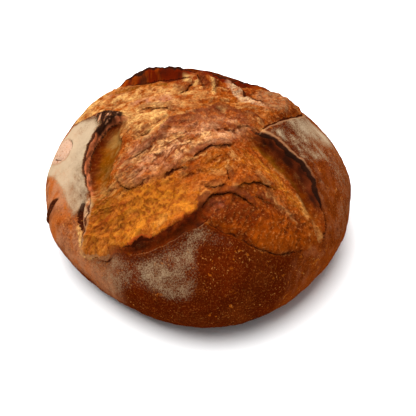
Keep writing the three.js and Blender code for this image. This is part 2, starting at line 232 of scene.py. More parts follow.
SECTIONS = {
    # The skin curls up to its edge, shows its thick cut face, and overhangs a narrow groove.
    "ear": [
        [-34, 0, 0], [-20, 0, 1.2], [-9, 0.3, 4.2], [-3, 1.0, 6.8], [-0.6, 1.5, 8.0], [0.7, 1.5, 8.0],
        [2.4, 1.0, 6.4], [5.0, -0.6, 3.0], [7.4, -2.4, -1.2], [9.4, -3.2, -4.6], [12, -2.4, -5.8],
        [16, -0.5, -4.0], [21, 0, -1.2], [28, 0, 0],
    ],
    # The left ear is lower, and its groove opened into a wide smooth trough.
    "left_ear": [
        [-30, 0, 0], [-18, 0, 1.0], [-8, 0.3, 3.2], [-3, 1.1, 5.0], [-0.8, 1.7, 5.8], [0.6, 1.8, 5.7],
        [1.8, 1.2, 4.2], [3.2, -0.4, 1.4], [4.6, -1.6, -2.0], [6.4, -1.9, -4.8], [9, -1.0, -6.4],
        [15, 0, -7.0], [20, 0, -6.4], [24, 0, -4.4], [28, 0, -1.4], [33, 0, 0],
    ],
    # The back ear is as tall, over a shallow groove.
    "back_ear": [
        [-34, 0, 0], [-20, 0, 1.2], [-9, 0.3, 4.2], [-3, 1.0, 6.8], [-0.6, 1.5, 8.0], [0.7, 1.5, 8.0],
        [2.4, 1.0, 6.4], [4.5, -0.2, 3.4], [6.4, -1.4, 0.4], [8.4, -1.6, -0.8], [10.5, -1.0, 0.6],
        [13, -0.4, 1.8], [20, 0, 1.4], [30, 0, 0],
    ],
    # The raised end of a flap that hangs over crumb at its own level.
    "step": [
        [-24, 0, 0], [-9, 0.2, 3.6], [-3, 0.6, 6.6], [-0.4, 0.9, 7.4], [1.5, 0.4, 6.2], [4, -0.8, 3.0],
        [8, -0.4, 1.6], [18, 0, 0.8], [30, 0, 0],
    ],
    # A thin rim of skin, a narrow groove, and the burst dough's brown wall leaning back over it.
    "wall": [
        [-20, 0, 0], [-6, 0.2, 0.8], [-1, 0.4, 2.2], [0.7, 0.4, 1.8], [2.4, -0.2, -1.6], [6, 0.2, -1.8],
        [10, -0.2, 1.4], [13.5, -1.6, 5.4], [15.8, -3.4, 8.2], [17.0, -4.6, 10.0], [18.0, -4.4, 11.0],
        [19.6, -2.8, 10.8], [23, -1.0, 9.2], [30, -0.2, 6.4], [40, 0, 2.6], [54, 0, 0],
    ],
    # The dough swells straight up from under the rim as a round lobe.
    "lobe": [
        [-15, 0, 0], [-1, 0.2, 1.3], [0.7, 0.2, 1.0], [2.2, -0.4, 0.0], [6, -1.2, 3.8], [12, -0.8, 6.6],
        [20, 0, 7.6], [34, 0, 4.6], [52, 0, 0],
    ],
    # A plain edge of skin, with the crumb swelling a little above it.
    "rim": [
        [-14, 0, 0], [-1, 0.3, 1.6], [0.6, 0.3, 1.3], [2.2, -0.3, -0.6], [6, -0.4, 1.2], [12, -0.2, 2.6],
        [24, 0, 1.6], [40, 0, 0],
    ],
    # Dough that has spilled over the edge of the skin.
    "spill": [
        [-12, 0, 0], [-3, 0, -0.4], [0, -1.6, -0.4], [1.5, -2.6, 1.8], [3.5, -2.2, 3.4], [8, -0.5, 3.0],
        [18, 0, 1.2], [30, 0, 0],
    ],
    # The edge of a torn sheet of crumb: the sheet rises to it, and it drops steeply.
    "ledge": [
        [-24, 0, 0], [-13, 0.1, 0.6], [-6, 0.5, 1.6], [-2, 1.3, 2.6], [-0.3, 1.6, 2.7], [1.0, 0.8, 1.3],
        [2.0, -0.7, -0.9], [4.5, -0.6, -1.3], [11, 0, -0.5], [18, 0, 0],
    ],
    # A slit that opened at the left ear's foot.
    "slit": [
        [-10, 0, 0], [-4, 0.2, 0.8], [-2.6, 0.4, 0.3], [-1.4, 0.2, -2.6], [1.6, -0.1, -3.0],
        [3.0, -0.5, 0.2], [4.4, -0.2, 2.4], [7, 0, 2.4], [12, 0, 0],
    ],
    # A crack in the skin with one lip lifted.
    "crack": [[-7, 0, 0], [-2, 0.3, 1.0], [-0.4, 0.8, 1.8], [0.8, 0.2, -1.4], [2.4, -0.4, -0.8], [6, 0, 0]],
    # A low scrap of skin that was carried up on the burst dough.
    "scrap": [[-5, 0, 0], [-2.4, 0, 0.9], [0, 0, 1.1], [2.2, -0.1, 0.9], [3.4, 0.2, -0.5], [6, 0, 0]],
}

# Each tear runs through points [u, v, width, height], with its opening on the left-hand side. Width and
# height scale its cross-section at that point.
TEARS = [
    # The front wall, from the left corner to the point where the two front cuts meet.
    ("wall", [
        [-84, -101, 0.4, 0], [-70, -99, 0.35, 0.3], [-62, -102, 0.4, 0.55], [-52, -104, 0.62, 0.95],
        [-41, -104, 0.76, 1.05], [-31, -101, 0.6, 0.95], [-22, -98, 0.62, 1.1], [-13, -93, 0.62, 1.1],
        [-5, -89, 0.62, 1.05], [3, -85, 0.62, 0.9], [9, -79, 0.7, 0.5], [16, -72, 0.8, 0],
    ]),
    # The front right lobe.
    ("lobe", [
        [-14, -66, 0.8, 0], [-4, -75, 0.8, 0.3], [5, -83, 0.8, 0.6], [12, -87, 0.9, 0.9], [22, -90, 1, 1],
        [32, -93, 1, 1], [42, -97, 1, 1], [52, -99, 1, 1], [64, -99, 1, 0.9], [76, -96, 0.9, 0.8],
        [88, -91, 0.8, 0.6], [99, -84, 0.6, 0.3], [108, -77, 0.5, 0],
    ]),
    # The right ear, from the right-hand end to the flap's tip.
    ("ear", [
        [114, -78, 0.5, 0], [112, -68, 0.6, 0.15], [109, -59, 0.7, 0.25], [103, -53, 0.8, 0.4],
        [97, -47, 0.9, 0.7], [91, -38, 0.95, 1.0], [85, -30, 0.95, 1.1], [77, -24, 1.0, 1.1],
        [66, -17, 1.0, 1.1], [57, -11, 1.0, 1.05], [49, -8, 0.95, 0.8], [41, -6, 0.9, 0.45],
        [31, -4, 0.8, 0],
    ]),
    # The upper edge of the right-hand flap.
    ("rim", [
        [38, -16, 0.8, 0], [46, -8, 0.8, 0.4], [57, 5, 1, 1.0], [69, 16, 1, 1.2], [81, 30, 1, 1.1],
        [90, 45, 1, 0.8], [94, 58, 1, 0.5], [94, 72, 0.9, 0],
    ]),
    # The back ear, in two stretches with a bridge of crumb between them.
    ("back_ear", [
        [72, 79, 0.6, 0], [58, 73, 0.5, 0.3], [45, 67, 0.5, 0.5], [34, 64, 0.5, 0.55],
        [17, 64, 0.5, 0.55], [8, 66, 0.5, 0.45], [-2, 68, 0.6, 0],
    ]),
    ("back_ear", [
        [-4, 68, 0.7, 0], [-14, 68, 0.8, 1.0], [-26, 70, 0.9, 1.3], [-38, 71, 0.9, 1.35],
        [-49, 73, 0.8, 1.0], [-58, 75, 0.7, 0.5], [-68, 78, 0.6, 0],
    ]),
    # The back left corner, where the dough reached far down the side.
    ("rim", [
        [-68, 76, 0.6, 0], [-87, 72, 0.8, 0.5], [-100, 63, 0.8, 0.5], [-107, 52, 0.8, 0.6],
        [-103, 44, 0.8, 0.7], [-93, 39, 0.8, 0.7], [-82, 36, 0.8, 0.5], [-70, 34, 0.8, 0],
    ]),
    # The curled tip of the left ear, and the ear itself.
    ("step", [
        [-100, 41, 0.6, 0], [-90, 36, 0.6, 0.25], [-81, 31, 0.6, 0.5], [-73, 28.5, 0.6, 0.6],
        [-66, 25, 0.6, 0.5], [-60, 21.5, 0.5, 0.3], [-54, 18, 0.5, 0],
    ]),
    ("left_ear", [
        [-52, 17, 0.8, 0], [-58, 18.5, 0.8, 0.5], [-64, 19.5, 0.85, 0.8], [-70, 18, 0.9, 0.95],
        [-76, 13, 0.95, 1.0], [-81, 5, 0.95, 1.0], [-86, -5, 0.95, 1.0], [-89, -14, 0.9, 0.95],
        [-91, -24, 0.9, 0.85], [-90, -35, 0.8, 0.7], [-88, -45, 0.6, 0.45], [-86, -56, 0.5, 0],
    ]),
    # The front left corner, with the slit beside it.
    ("spill", [
        [-86, -42, 0.7, 0], [-89, -54, 0.7, 0.5], [-92, -64, 0.8, 0.8], [-95, -73, 0.9, 1],
        [-100, -80, 1, 1], [-105, -87, 1, 1], [-99, -92, 1, 1.1], [-91, -95, 0.9, 1.1],
        [-83, -100, 1, 1.1], [-72, -100, 0.8, 0],
    ]),
    ("slit", [
        [-95, -48, 0.8, 0], [-98, -53, 1, 1], [-100, -59, 1.1, 1], [-100, -66, 1, 0.9],
        [-101, -74, 0.7, 0],
    ]),
    # The torn sheet over the plateau: its left edge, its back edge and the long ledge across it.
    ("ledge", [
        [-30, -47, 1, 0], [-37, -47, 1, 0.35], [-46, -50, 1, 0.6], [-56, -52, 1, 0.9], [-62, -46, 1, 0.8],
        [-63, -38, 1, 0.4], [-60, -28, 1, 0],
    ]),
    ("ledge", [
        [-50, -14, 1, 0], [-39, -13, 1, 0.8], [-31, -13, 1, 1], [-27, -6, 1, 1.1], [-22, 3, 1, 1],
        [-12, 6, 1, 0.9], [-4, 14, 1, 0.8], [7, 15, 1, 1], [15, 24, 1, 1.1], [22, 20, 1, 1.1],
        [32, 13, 1, 1], [42, 8, 1, 0.8], [54, 2, 1, 0],
    ]),
    ("ledge", [
        [29, -16, 1, 0], [22, -20, 1, 0.7], [15, -22, 1, 0.9], [8, -21, 1, 0.9], [1, -26, 1, 0.8],
        [-5, -33, 1, 0.6], [-12, -38, 1, 0.3], [-18, -40, 1, 0],
    ]),
    ("ledge", [
        [-6, -40, 1, 0], [-13, -41, 1, 0.6], [-20, -43, 1, 0.8], [-26, -47, 1, 0.7], [-31, -51, 1, 0],
    ]),
    # The folds of the bridge.
    ("ledge", [
        [9, 42, 0.8, 0], [5, 46, 0.8, 0.6], [2, 52, 0.9, 0.9], [0, 59, 0.9, 0.9], [3, 66, 0.8, 0],
    ]),
    ("ledge", [[18, 60, 0.8, 0], [14, 54, 0.8, 0.5], [11, 47, 0.8, 0.5], [13, 40, 0.8, 0]]),
    ("ledge", [[-6, 60, 0.7, 0], [-7, 51, 0.7, 0.7], [-12, 43, 0.7, 0.8], [-19, 37, 0.7, 0]]),
    # Smaller ledges, from the back to the front.
    ("ledge", [
        [-10, 18, 1, 0], [-18, 20, 1, 0.5], [-29, 25, 1, 0.6], [-41, 27, 1, 0.6], [-52, 27, 1, 0],
    ]),
    ("ledge", [[-32, 2, 1, 0], [-38, -1, 1, 0.5], [-47, -5, 1, 0.5], [-56, -5, 1, 0]]),
    ("ledge", [[-30, -20, 1, 0], [-39, -20, 1, 0.5], [-50, -26, 1, 0.6], [-61, -27, 1, 0]]),
    ("ledge", [[40, -12, 1, 0], [30, -8, 1, 0.5], [22, -5, 1, 0.6], [12, -3, 1, 0.5], [2, -6, 1, 0]]),
    ("ledge", [[48, -3, 1, 0], [38, -3, 1, 0.5], [30, -2, 1, 0.5], [22, -8, 1, 0]]),
    ("ledge", [
        [6, -41, 1, 0], [0, -43, 1, 0.4], [-8, -46, 1, 0.5], [-16, -51, 1, 0.3], [-22, -52, 1, 0],
    ]),
    ("ledge", [
        [21, -50, 0.8, 0], [17, -54, 0.8, 0.6], [11, -57, 0.8, 0.7], [5, -56, 0.8, 0.6],
        [-1, -52, 0.8, 0],
    ]),
    ("ledge", [[22, -56, 0.7, 0], [24, -49, 0.7, 0.8], [21, -43, 0.7, 0.8], [18, -38, 0.7, 0]]),
    # The crack where the right ear runs out, round the end of the lobe.
    ("crack", [
        [93, -46, 0.8, 0], [98, -53, 0.9, 0.9], [104, -57, 0.9, 0.8], [108, -64, 0.8, 0.8],
        [109, -73, 0.8, 0.7], [113, -82, 0.8, 0],
    ]),
    # The crest of the front right lobe, and of the sheet behind it.
    ("ledge", [
        [64, -50, 1, 0], [54, -48, 1, 0.7], [46, -48, 1, 0.9], [33, -53, 1, 0.8], [24, -58, 1, 0],
    ]),
    ("ledge", [
        [50, -72, 1, 0], [40, -67, 1, 0.8], [31, -63, 1, 1.1], [21, -60, 1, 1.2], [12, -62, 1, 1.2],
        [5, -67, 1, 1.0], [-3, -76, 1, 0],
    ]),
    ("ledge", [[62, -66, 0.8, 0], [54, -63, 0.8, 0.6], [46, -60, 0.8, 0.7], [38, -60, 0.8, 0]]),
    ("ledge", [
        [24, -72, 0.5, 0], [19, -69, 0.5, 0.5], [13, -69, 0.5, 0.6], [8, -72, 0.5, 0.5], [7, -77, 0.5, 0],
    ]),
    ("ledge", [[20, -76, 0.5, 0], [15, -73, 0.5, 0.4], [11, -75, 0.5, 0]]),
    # A lifted crack low on the left side, and a crack in the flour on the left flap.
    ("crack", [
        [-116, -30, 1, 0], [-126, -31, 1, 1], [-134, -34, 1, 1], [-144, -36, 1, 0.8], [-152, -35, 1, 0],
    ]),
    ("crack", [
        [-128, 22, 1.2, 0], [-122, 13, 1.2, 0.6], [-116, 6, 1.1, 0.7], [-109, 4, 0.9, 0.7],
        [-103, 8, 0.9, 0.6], [-103, 19, 0.9, 0.5], [-109, 30, 0.9, 0],
    ]),
    # The scrap of floured skin that runs over the back right lobe.
    ("scrap", [
        [20, 62, 1.2, 0], [28, 55, 1.7, 0.9], [35, 44, 1.6, 1], [41, 34, 1.4, 0.9], [47, 26, 1.2, 0.6],
        [54, 19, 1, 0],
    ]),
]

# The closed edge of the skin, anticlockwise: inside it the burst dough shows.
BURST_EDGE = [
    [-78, -100], [-70, -99], [-62, -102], [-52, -104], [-41, -104], [-31, -101], [-22, -98], [-13, -93],
    [-5, -89], [3, -84], [12, -87], [22, -90], [32, -93], [42, -97], [52, -99], [64, -99], [76, -96],
    [88, -91], [99, -84], [107, -74], [109, -59], [103, -53], [97, -47], [91, -38], [85, -30], [77, -24],
    [66, -17], [57, -11], [49, -6], [57, 5], [69, 16], [81, 30], [90, 45], [92, 58], [80, 72], [58, 73],
    [45, 67], [34, 64], [17, 64], [8, 66], [-14, 68], [-26, 70], [-38, 71], [-49, 73], [-60, 75],
    [-74, 76], [-87, 73], [-100, 63], [-107, 52], [-104, 45], [-92, 38], [-81, 31], [-73, 28.5],
    [-66, 25], [-60, 20], [-64, 19.5], [-70, 18], [-76, 13], [-81, 5], [-86, -5], [-89, -14], [-91, -24],
    [-90, -35], [-88, -45], [-89, -54], [-92, -64], [-95, -73], [-100, -80], [-105, -87], [-99, -92],
    [-91, -95], [-84, -100], [-78, -100],
]


def through(points, step=1.6):
    """Centripetal Catmull-Rom curve through points with all their columns, in straights of about step."""
    given = np.array(points, float)
    ends = np.vstack([2 * given[0] - given[1], given, 2 * given[-1] - given[-2]])
    pieces = []
    for p0, p1, p2, p3 in zip(ends[:-3], ends[1:-2], ends[2:-1], ends[3:]):
        gaps = [max(np.hypot(*(b - a)[:2]) ** 0.5, 1e-3) for a, b in ((p0, p1), (p1, p2), (p2, p3))]
        t0, t1 = 0.0, gaps[0]
        t2, t3 = t1 + gaps[1], t1 + gaps[1] + gaps[2]
        count = max(2, int(np.ceil(gaps[1] ** 2 / step)))
        t = np.linspace(t1, t2, count, endpoint=False)[:, None]
        a1 = (t1 - t) / (t1 - t0) * p0 + (t - t0) / (t1 - t0) * p1
        a2 = (t2 - t) / (t2 - t1) * p1 + (t - t1) / (t2 - t1) * p2
        a3 = (t3 - t) / (t3 - t2) * p2 + (t - t2) / (t3 - t2) * p3
        b1 = (t2 - t) / (t2 - t0) * a1 + (t - t0) / (t2 - t0) * a2
        b2 = (t3 - t) / (t3 - t1) * a2 + (t - t1) / (t3 - t1) * a3
        pieces.append((t2 - t) / (t2 - t1) * b1 + (t - t1) / (t2 - t1) * b2)
    pieces.append(given[-1:])
    return np.vstack(pieces)


OUT_OF_REACH = 1e3  # the distance that places far from a line are given


def nearest(line, u, v, reach=60.0):
    """Distance to a line, positive on its left, and its left normal and other columns where nearest."""
    close = (u > line[:, 0].min() - reach) & (u < line[:, 0].max() + reach)
    close &= (v > line[:, 1].min() - reach) & (v < line[:, 1].max() + reach)
    x, y = u[close], v[close]
    best = np.full(x.shape, np.inf)
    which = np.zeros(x.shape, int)
    share = np.zeros(x.shape)
    for i in range(len(line) - 1):
        start = line[i, :2]
        edge = line[i + 1, :2] - start
        t = np.clip(((x - start[0]) * edge[0] + (y - start[1]) * edge[1]) / (edge @ edge), 0, 1)
        squared = (x - start[0] - t * edge[0]) ** 2 + (y - start[1] - t * edge[1]) ** 2
        closer = squared < best
        best[closer], which[closer], share[closer] = squared[closer], i, t[closer]
    edge = line[which + 1, :2] - line[which, :2]
    edge /= np.linalg.norm(edge, axis=1, keepdims=True)
    foot = line[which] + share[:, None] * (line[which + 1] - line[which])
    side = np.where(edge[:, 0] * (y - foot[:, 1]) - edge[:, 1] * (x - foot[:, 0]) >= 0, 1.0, -1.0)
    signed = np.full(u.shape, OUT_OF_REACH)
    normal = np.zeros(u.shape + (2,))
    extra = np.zeros(u.shape + (line.shape[1] - 2,))
    signed[close] = side * np.sqrt(best)
    normal[close] = np.stack([-edge[:, 1], edge[:, 0]], axis=-1)
    extra[close] = foot[:, 2:]
    return signed, normal, extra


def read_section(rows, distance):
    """Cubic Hermite curve through a cross-section's rows, zero outside them: shift and lift."""
    rows = np.array(rows, float)
    at = rows[:, 0]
    x = np.clip(distance, at[0], at[-1])
    i = np.clip(np.searchsorted(at, x, side="right") - 1, 0, len(at) - 2)
    gap = at[i + 1] - at[i]
    t = (x - at[i]) / gap
    slope = np.zeros((len(at), 2))
    slope[1:-1] = (rows[2:, 1:] - rows[:-2, 1:]) / (at[2:] - at[:-2])[:, None]
    t, gap = t[..., None], gap[..., None]
    value = (2 * t**3 - 3 * t**2 + 1) * rows[i, 1:] + (t**3 - 2 * t**2 + t) * gap * slope[i]
    value += (3 * t**2 - 2 * t**3) * rows[i + 1, 1:] + (t**3 - t**2) * gap * slope[i + 1]
    return value[..., 0], value[..., 1]


def inside(edge, u, v):
    """Even-odd rule: inside are places whose line to the right crosses the closed edge an odd count."""
    odd = np.zeros(u.shape, bool)
    for (ax, ay), (bx, by) in zip(edge[:-1], edge[1:]):
        if ay != by:
            odd ^= ((ay > v) != (by > v)) & (u < ax + (v - ay) / (by - ay) * (bx - ax))
    return odd


# A blade's cut is never straight where it tears: the map is read a little off its place near the lines.
WOBBLE = 1.2
RAGGED = 0.9
wobble_u = U + WOBBLE * crumple(U, V, 12.0, seed=3, octaves=2)
wobble_v = V + WOBBLE * crumple(U, V, 12.0, seed=5, octaves=2)
ragged_u = wobble_u + RAGGED * crumple(U, V, 4.5, seed=71, octaves=2)
ragged_v = wobble_v + RAGGED * crumple(U, V, 4.5, seed=73, octaves=2)
jagged = crumple(U, V, 7.0, seed=75)

burst_line = through(BURST_EDGE)
edge_distance = np.abs(nearest(burst_line, wobble_u, wobble_v, reach=80.0)[0])
into_burst = np.where(inside(burst_line, wobble_u, wobble_v), edge_distance, -edge_distance)

shift_u, shift_v, lift = np.zeros((3, *U.shape))
# One mark is painted shade: dark chestnut laid in the grooves, drops, slits and undercuts of the tears,
# where shade falls.
MARKS = (
    "cut_face", "left_face", "back_face", "burnt_and_shade", "groove", "wall", "wall_foot", "lip", "floured_lip",
    "crest", "pale", "painted_shade", "scrap",
)
marks = {name: np.zeros(U.shape) for name in MARKS}
NO_GROOVE = 99.0
down_trough = np.full(U.shape, NO_GROOVE)  # distance into the ears' grooves, where they are open


def mark(name, amount):
    """Keeps the stronger of a mark and what is already there."""
    marks[name] = np.maximum(marks[name], amount)


for kind, line in TEARS:
    torn_edge = kind in ("ledge", "spill")
    read_at = (ragged_u, ragged_v) if torn_edge else (wobble_u, wobble_v)
    distance, away, carried = nearest(through(line), *read_at)
    width, height = carried[..., 0], carried[..., 1]
    x = distance / np.maximum(width, 0.3)
    if kind == "wall":
        x = x + 2.4 * jagged * ease_between(5, 15, x)
    if kind in ("ear", "left_ear", "back_ear"):
        height = height * (1 + 0.2 * jagged)
    shift, raised = read_section(SECTIONS[kind], x)
    shift = shift * width * np.minimum(height, 1)
    raised = raised * height
    push = np.stack([shift * away[..., 0], shift * away[..., 1], raised], axis=-1)
    far = ease_between(8, 14, np.abs(distance))[..., None]
    push += far * (soften(push, 6) - push)
    shift_u += push[..., 0]
    shift_v += push[..., 1]
    lift += push[..., 2]
    strong = np.minimum(height * 1.3, 1)
    if kind in ("ear", "left_ear"):
        into = np.where(x > 0, x - (2.5 if kind == "ear" else 0), NO_GROOVE)
        down_trough = np.where(strong > 0.3, np.minimum(down_trough, into), down_trough)
    if kind == "ear":
        mark("cut_face", strong * band(x, -0.2, 8.2, 0.4))
        mark("burnt_and_shade", strong * band(x + 0.8 * jagged, 0.5, 3.6, 0.6))
        mark("floured_lip", strong * band(x, -1.8, 0.1, 0.5) * (1 - ease_between(76, 94, U)))
        mark("groove", strong * band(x, 8.0, 15, 1.6))
    elif kind == "back_ear":
        shown = np.minimum(2 * strong, 1)
        mark("back_face", shown * band(x, -0.2, 8.4, 0.4))
        mark("cut_face", shown * band(x, -0.2, 8.4, 0.4))
        mark("burnt_and_shade", shown * np.exp(-(((x - 0.3 + jagged) / 2.0) ** 2)))
        mark("groove", 0.9 * strong * band(x, 8.6, 11.5, 1.0))
        mark("painted_shade", 0.8 * strong * band(x, 6.8, 9.0, 0.6))
    elif kind == "left_ear":
        mark("cut_face", strong * band(x, -0.4, 4.4, 0.4))
        mark("left_face", strong * band(x, -0.4, 4.4, 0.4))
        mark("burnt_and_shade", strong * np.exp(-(((x - 0.3) / 1.1) ** 2)))
        mark("groove", strong * band(x, 4.6, 26, 1.2))
        # Painted shade: a dark line where the left ear's face overhangs its trough.
        mark("burnt_and_shade", 0.6 * strong * np.exp(-(((x - 4.6) / 0.9) ** 2)))
    elif kind == "step":
        near_tip = ease_between(-80, -72, U)
        mark("cut_face", near_tip * strong * band(x, -6, 3, 1.0))
        mark("burnt_and_shade", near_tip * strong * band(x, -6, 2.4, 1.0))
        mark("painted_shade", 0.6 * (1 - near_tip) * strong * band(x, 1.2, 3.0, 0.8))
    elif kind == "wall":
        mark("wall", strong * band(x, 1.6, 16.4, 0.4))
        to_the_left = 1 - ease_between(-44, -34, U)
        mark("lip", strong * band(x, 16.4, 19.0 + 2 * jagged, 0.7) * (0.45 + 0.55 * to_the_left))
        mark("pale", 0.6 * strong * np.exp(-(((x - 0.4) / 1.0) ** 2)))
        mark("painted_shade", 0.8 * strong * band(x, 1.6, 2.8, 0.6))
        mark("wall_foot", strong * (1 - ease_between(6, 12, x + 2.5 * jagged)))
        # Painted shade under the lip that leans over the wall.
        under_lip = band(x + 1.5 * jagged, 11.5, 15.5, 1.0)
        mark("painted_shade", strong * under_lip * (1 - 0.75 * ease_between(-46, -30, U)))
    elif kind == "lobe":
        mark("pale", 0.1 * strong * np.exp(-((x / 1.2) ** 2)))
        mark("painted_shade", 0.6 * strong * band(x, 0.4, 3.0 + jagged, 0.8))
    elif kind == "rim":
        mark("pale", strong * np.exp(-((x / 1.3) ** 2)))
        mark("painted_shade", 0.7 * strong * band(x, 1.6, 4.0, 0.8))
    elif kind == "spill":
        mark("pale", strong * np.exp(-(((x - 2.6) / 1.4) ** 2)))
        mark("painted_shade", 0.8 * strong * band(x, -2.6, 0.8, 0.8))
    elif kind == "ledge":
        mark("crest", strong * band(x, -5.0 + 2.5 * jagged, 0.4, 1.6))
        mark("painted_shade", 0.7 * strong * band(x + 0.6 * jagged, 0.9, 2.5, 0.6))
    elif kind == "slit":
        # Painted shade: the slit is coloured dark all through, as a hole.
        mark("painted_shade", strong * band(x, -2.4, 2.8, 0.5))
        mark("burnt_and_shade", 0.8 * strong * band(x, -2.4, 1.0, 0.6))
    elif kind == "scrap":
        mark("scrap", strong * band(x, -2.6, 2.4, 0.6))
        mark("painted_shade", 0.8 * strong * band(x, 2.6, 4.0, 0.6))
    else:
        mark("painted_shade", strong * band(x, -0.5, 1.5, 0.7))

# The dough also swells as a whole between the cuts: middle, half lengths, turn of the long axis, height.
SWELLINGS = [
    ((-8, -22), (62, 42), 25, 5.5),  # the middle of the burst top
    ((62, 28), (34, 24), 40, 4.0),  # the shoulder above the right-hand flap
    ((68, 60), (20, 13), -35, 2.6),  # the knob at the back right
    ((92, 44), (16, 18), 0, -3.0),  # the flap beside it lies lower
    ((-74, 66), (18, 12), 0, 3.5),  # the dough at the back left corner
    ((0, 60), (11, 14), 0, 6.0),  # the bridge across the back groove
    ((-86, -84), (26, 14), -20, 3.0),  # the dough over the front left corner
    ((-128, -58), (22, 24), 0, 4.0),  # the bulge low on the left side
    ((34, 90), (28, 14), -8, -7.0),  # the skin behind the back groove falls away on the right
    ((-67, 47), (6, 5), 0, -3.5),  # a pocket between the flap's tip and the back
]


def along_and_across(u, v, heading):
    """Distances along a heading in degrees, and across it to its left."""
    turn = np.radians(heading)
    return u * np.cos(turn) + v * np.sin(turn), v * np.cos(turn) - u * np.sin(turn)


def oval(middle, half, turn):
    """Bell over an oval: exp of minus the squared distance, measured in its half lengths."""
    along, across = along_and_across(U - middle[0], V - middle[1], turn)
    return np.exp(-((along / half[0]) ** 2 + (across / half[1]) ** 2))


def patch(outline, soft):
    """1 inside a closed outline and 0 outside it, with an S of the given half width at its edge."""
    line = through(outline + outline[:1])
    distance = np.abs(nearest(line, U, V, reach=soft + 40)[0])
    return ease_between(-soft, soft, np.where(inside(line, U, V), distance, -distance))


for middle, half, turn, height in SWELLINGS:
    lift += height * oval(middle, half, turn)


# ---- The torn crumb of the burst top ----
# The dough inside tears as it rises: it pulls out into sheets that overlap like shingles, into strands and
# into a net of burst gas cells. The crests bake brown while the hollows stay golden.


def sheets(heading, width, seed):
    """Overlapping sheets whose edges run along a heading and drop on its right-hand side.

    The distance across, bent by noise, is cut into steps: each rises to its edge and then drops. Gives the
    height from 0 to 1, the brown edge, and the fresh hollow below it. Edges come and go along their length.
    """
    along, across = along_and_across(U, V, heading)
    bend = 1.1 * waves(along / (4.5 * width), across / (2.2 * width), seed)
    bend += 0.5 * waves(along / (1.3 * width), across / width, seed + 3)
    bend += 0.2 * waves(along / (0.5 * width), across / (0.45 * width), seed + 5)
    place = bend - across / width
    part = place - np.floor(place)
    blunt = max(0.12, 1.3 / width)
    height = part * (1 - ease_between(1 - blunt, 1, part))
    shown = ease_between(-0.25, 0.2, waves(along / (3.2 * width), across / (1.4 * width), seed + 9))
    edge = shown * band(part, 0.7, 1 - blunt, 0.08)
    hollow = shown * (1 - ease_between(0.0, 0.4, part))
    return shown * height, edge, hollow


# How strongly each way of tearing shows: over the left and middle, along the right ear, and at the back.
to_right = ease_between(6, 30, U + 0.55 * V + 14 + 8 * waves(U / 30, V / 30, 81))
to_right *= 1 - ease_between(8, 30, V)
to_back = ease_between(8, 30, V + 8 * waves(U / 28, V / 28, 83))
to_left = np.clip(1 - to_right - to_back, 0, 1)
on_plateau = patch([
    [-60, -30], [-54, -47], [-30, -45], [-12, -36], [0, -24], [24, -17], [34, -6], [22, 10], [-4, 10],
    [-26, -2], [-46, -12],
], 8)
on_golden = np.clip(oval((-52, -72), (56, 22), 14) * 1.5, 0, 1)
on_lobe = np.clip(oval((52, -78), (56, 20), 4) * 1.6, 0, 1)

tear_height, tear_edge, tear_hollow = np.zeros((3, *U.shape))
for weight, heading, width, seed, depth in [
    (to_left * (1 - 0.6 * on_golden), 36, 20.0, 1, 2.4),
    (to_left * (1 - 0.5 * on_golden), 33, 10.0, 2, 1.5),
    (to_right * (1 - 0.5 * on_lobe), -48, 15.0, 4, 2.0),
    (to_right * (1 - 0.5 * on_lobe), -44, 8.0, 5, 1.3),
    (to_back, 4, 14.0, 7, 2.2),
    (to_back, 12, 7.5, 8, 1.3),
]:
    height, edge, hollow = sheets(heading, width, 10.0 * seed)
    tear_height += weight * depth * (height - 0.35)
    tear_edge = np.maximum(tear_edge, weight * edge)
    tear_hollow = np.maximum(tear_hollow, weight * hollow)

# Plates and crests have frayed edges: the map is read off its place again, more than at the cuts.
FRAY = 1.4
frayed_u = U + FRAY * crumple(U, V, 7.0, seed=171)
frayed_v = V + FRAY * crumple(U, V, 7.0, seed=173)


def flakes(heading, length, width, seed):
    """Ragged plates longer along a heading: each rises to its front edge and lies a little higher or lower.

    Gives the height, the closeness to an edge, and a random number from 0 to 1 for each plate.
    """
    along, across = along_and_across(frayed_u, frayed_v, heading)
    first, second, owner, past = cells(along / length, across / width, seed)
    edge = np.exp(-(((second - first) / 0.1) ** 2))
    height = 0.9 * (drawn_number(owner) - 0.5) - 1.1 * past - 0.5 * edge
    return height, edge, drawn_number(owner, stride=101)


def crests(heading, length, width, seed, octaves=4):
    """Sharp wandering crests along a heading: stretched noise folded at zero, in ever finer octaves."""
    along, across = along_and_across(frayed_u, frayed_v, heading)
    total = np.zeros(U.shape)
    for octave in range(octaves):
        scale = 2**octave
        fold = np.abs(waves(along * scale / length, across * scale / width, seed + 5.1 * octave))
        total += (0.55 - np.minimum(1.9 * fold, 1.2)) / 1.7**octave
    return total


crest_height = to_left * crests(34, 20, 7, 201)
crest_height += to_right * crests(-46, 22, 6.5, 221)
crest_height += to_back * crests(8, 26, 9, 241)

# Large and small plates along each way of tearing, with the large ones counting for more of the colour.
LARGE_SHARE, SMALL_SHARE = 0.62, 0.38
plate_height, plate_edge, plate_number = np.zeros((3, *U.shape))
for weight, heading, length, width, seed, depth, share in [
    (to_left, 34, 17, 7.0, 1, 1.0, LARGE_SHARE), (to_left, 30, 8, 3.8, 2, 0.55, SMALL_SHARE),
    (to_right, -45, 19, 6.5, 3, 0.9, LARGE_SHARE), (to_right, -42, 9, 3.6, 4, 0.55, SMALL_SHARE),
    (to_back, 5, 16, 8.0, 5, 1.0, LARGE_SHARE), (to_back, 12, 8, 4.0, 6, 0.6, SMALL_SHARE),
]:
    height, edge, number = flakes(heading, length, width, seed)
    plate_height += weight * depth * height
    plate_edge += weight * depth * 0.6 * edge
    plate_number += weight * share * number

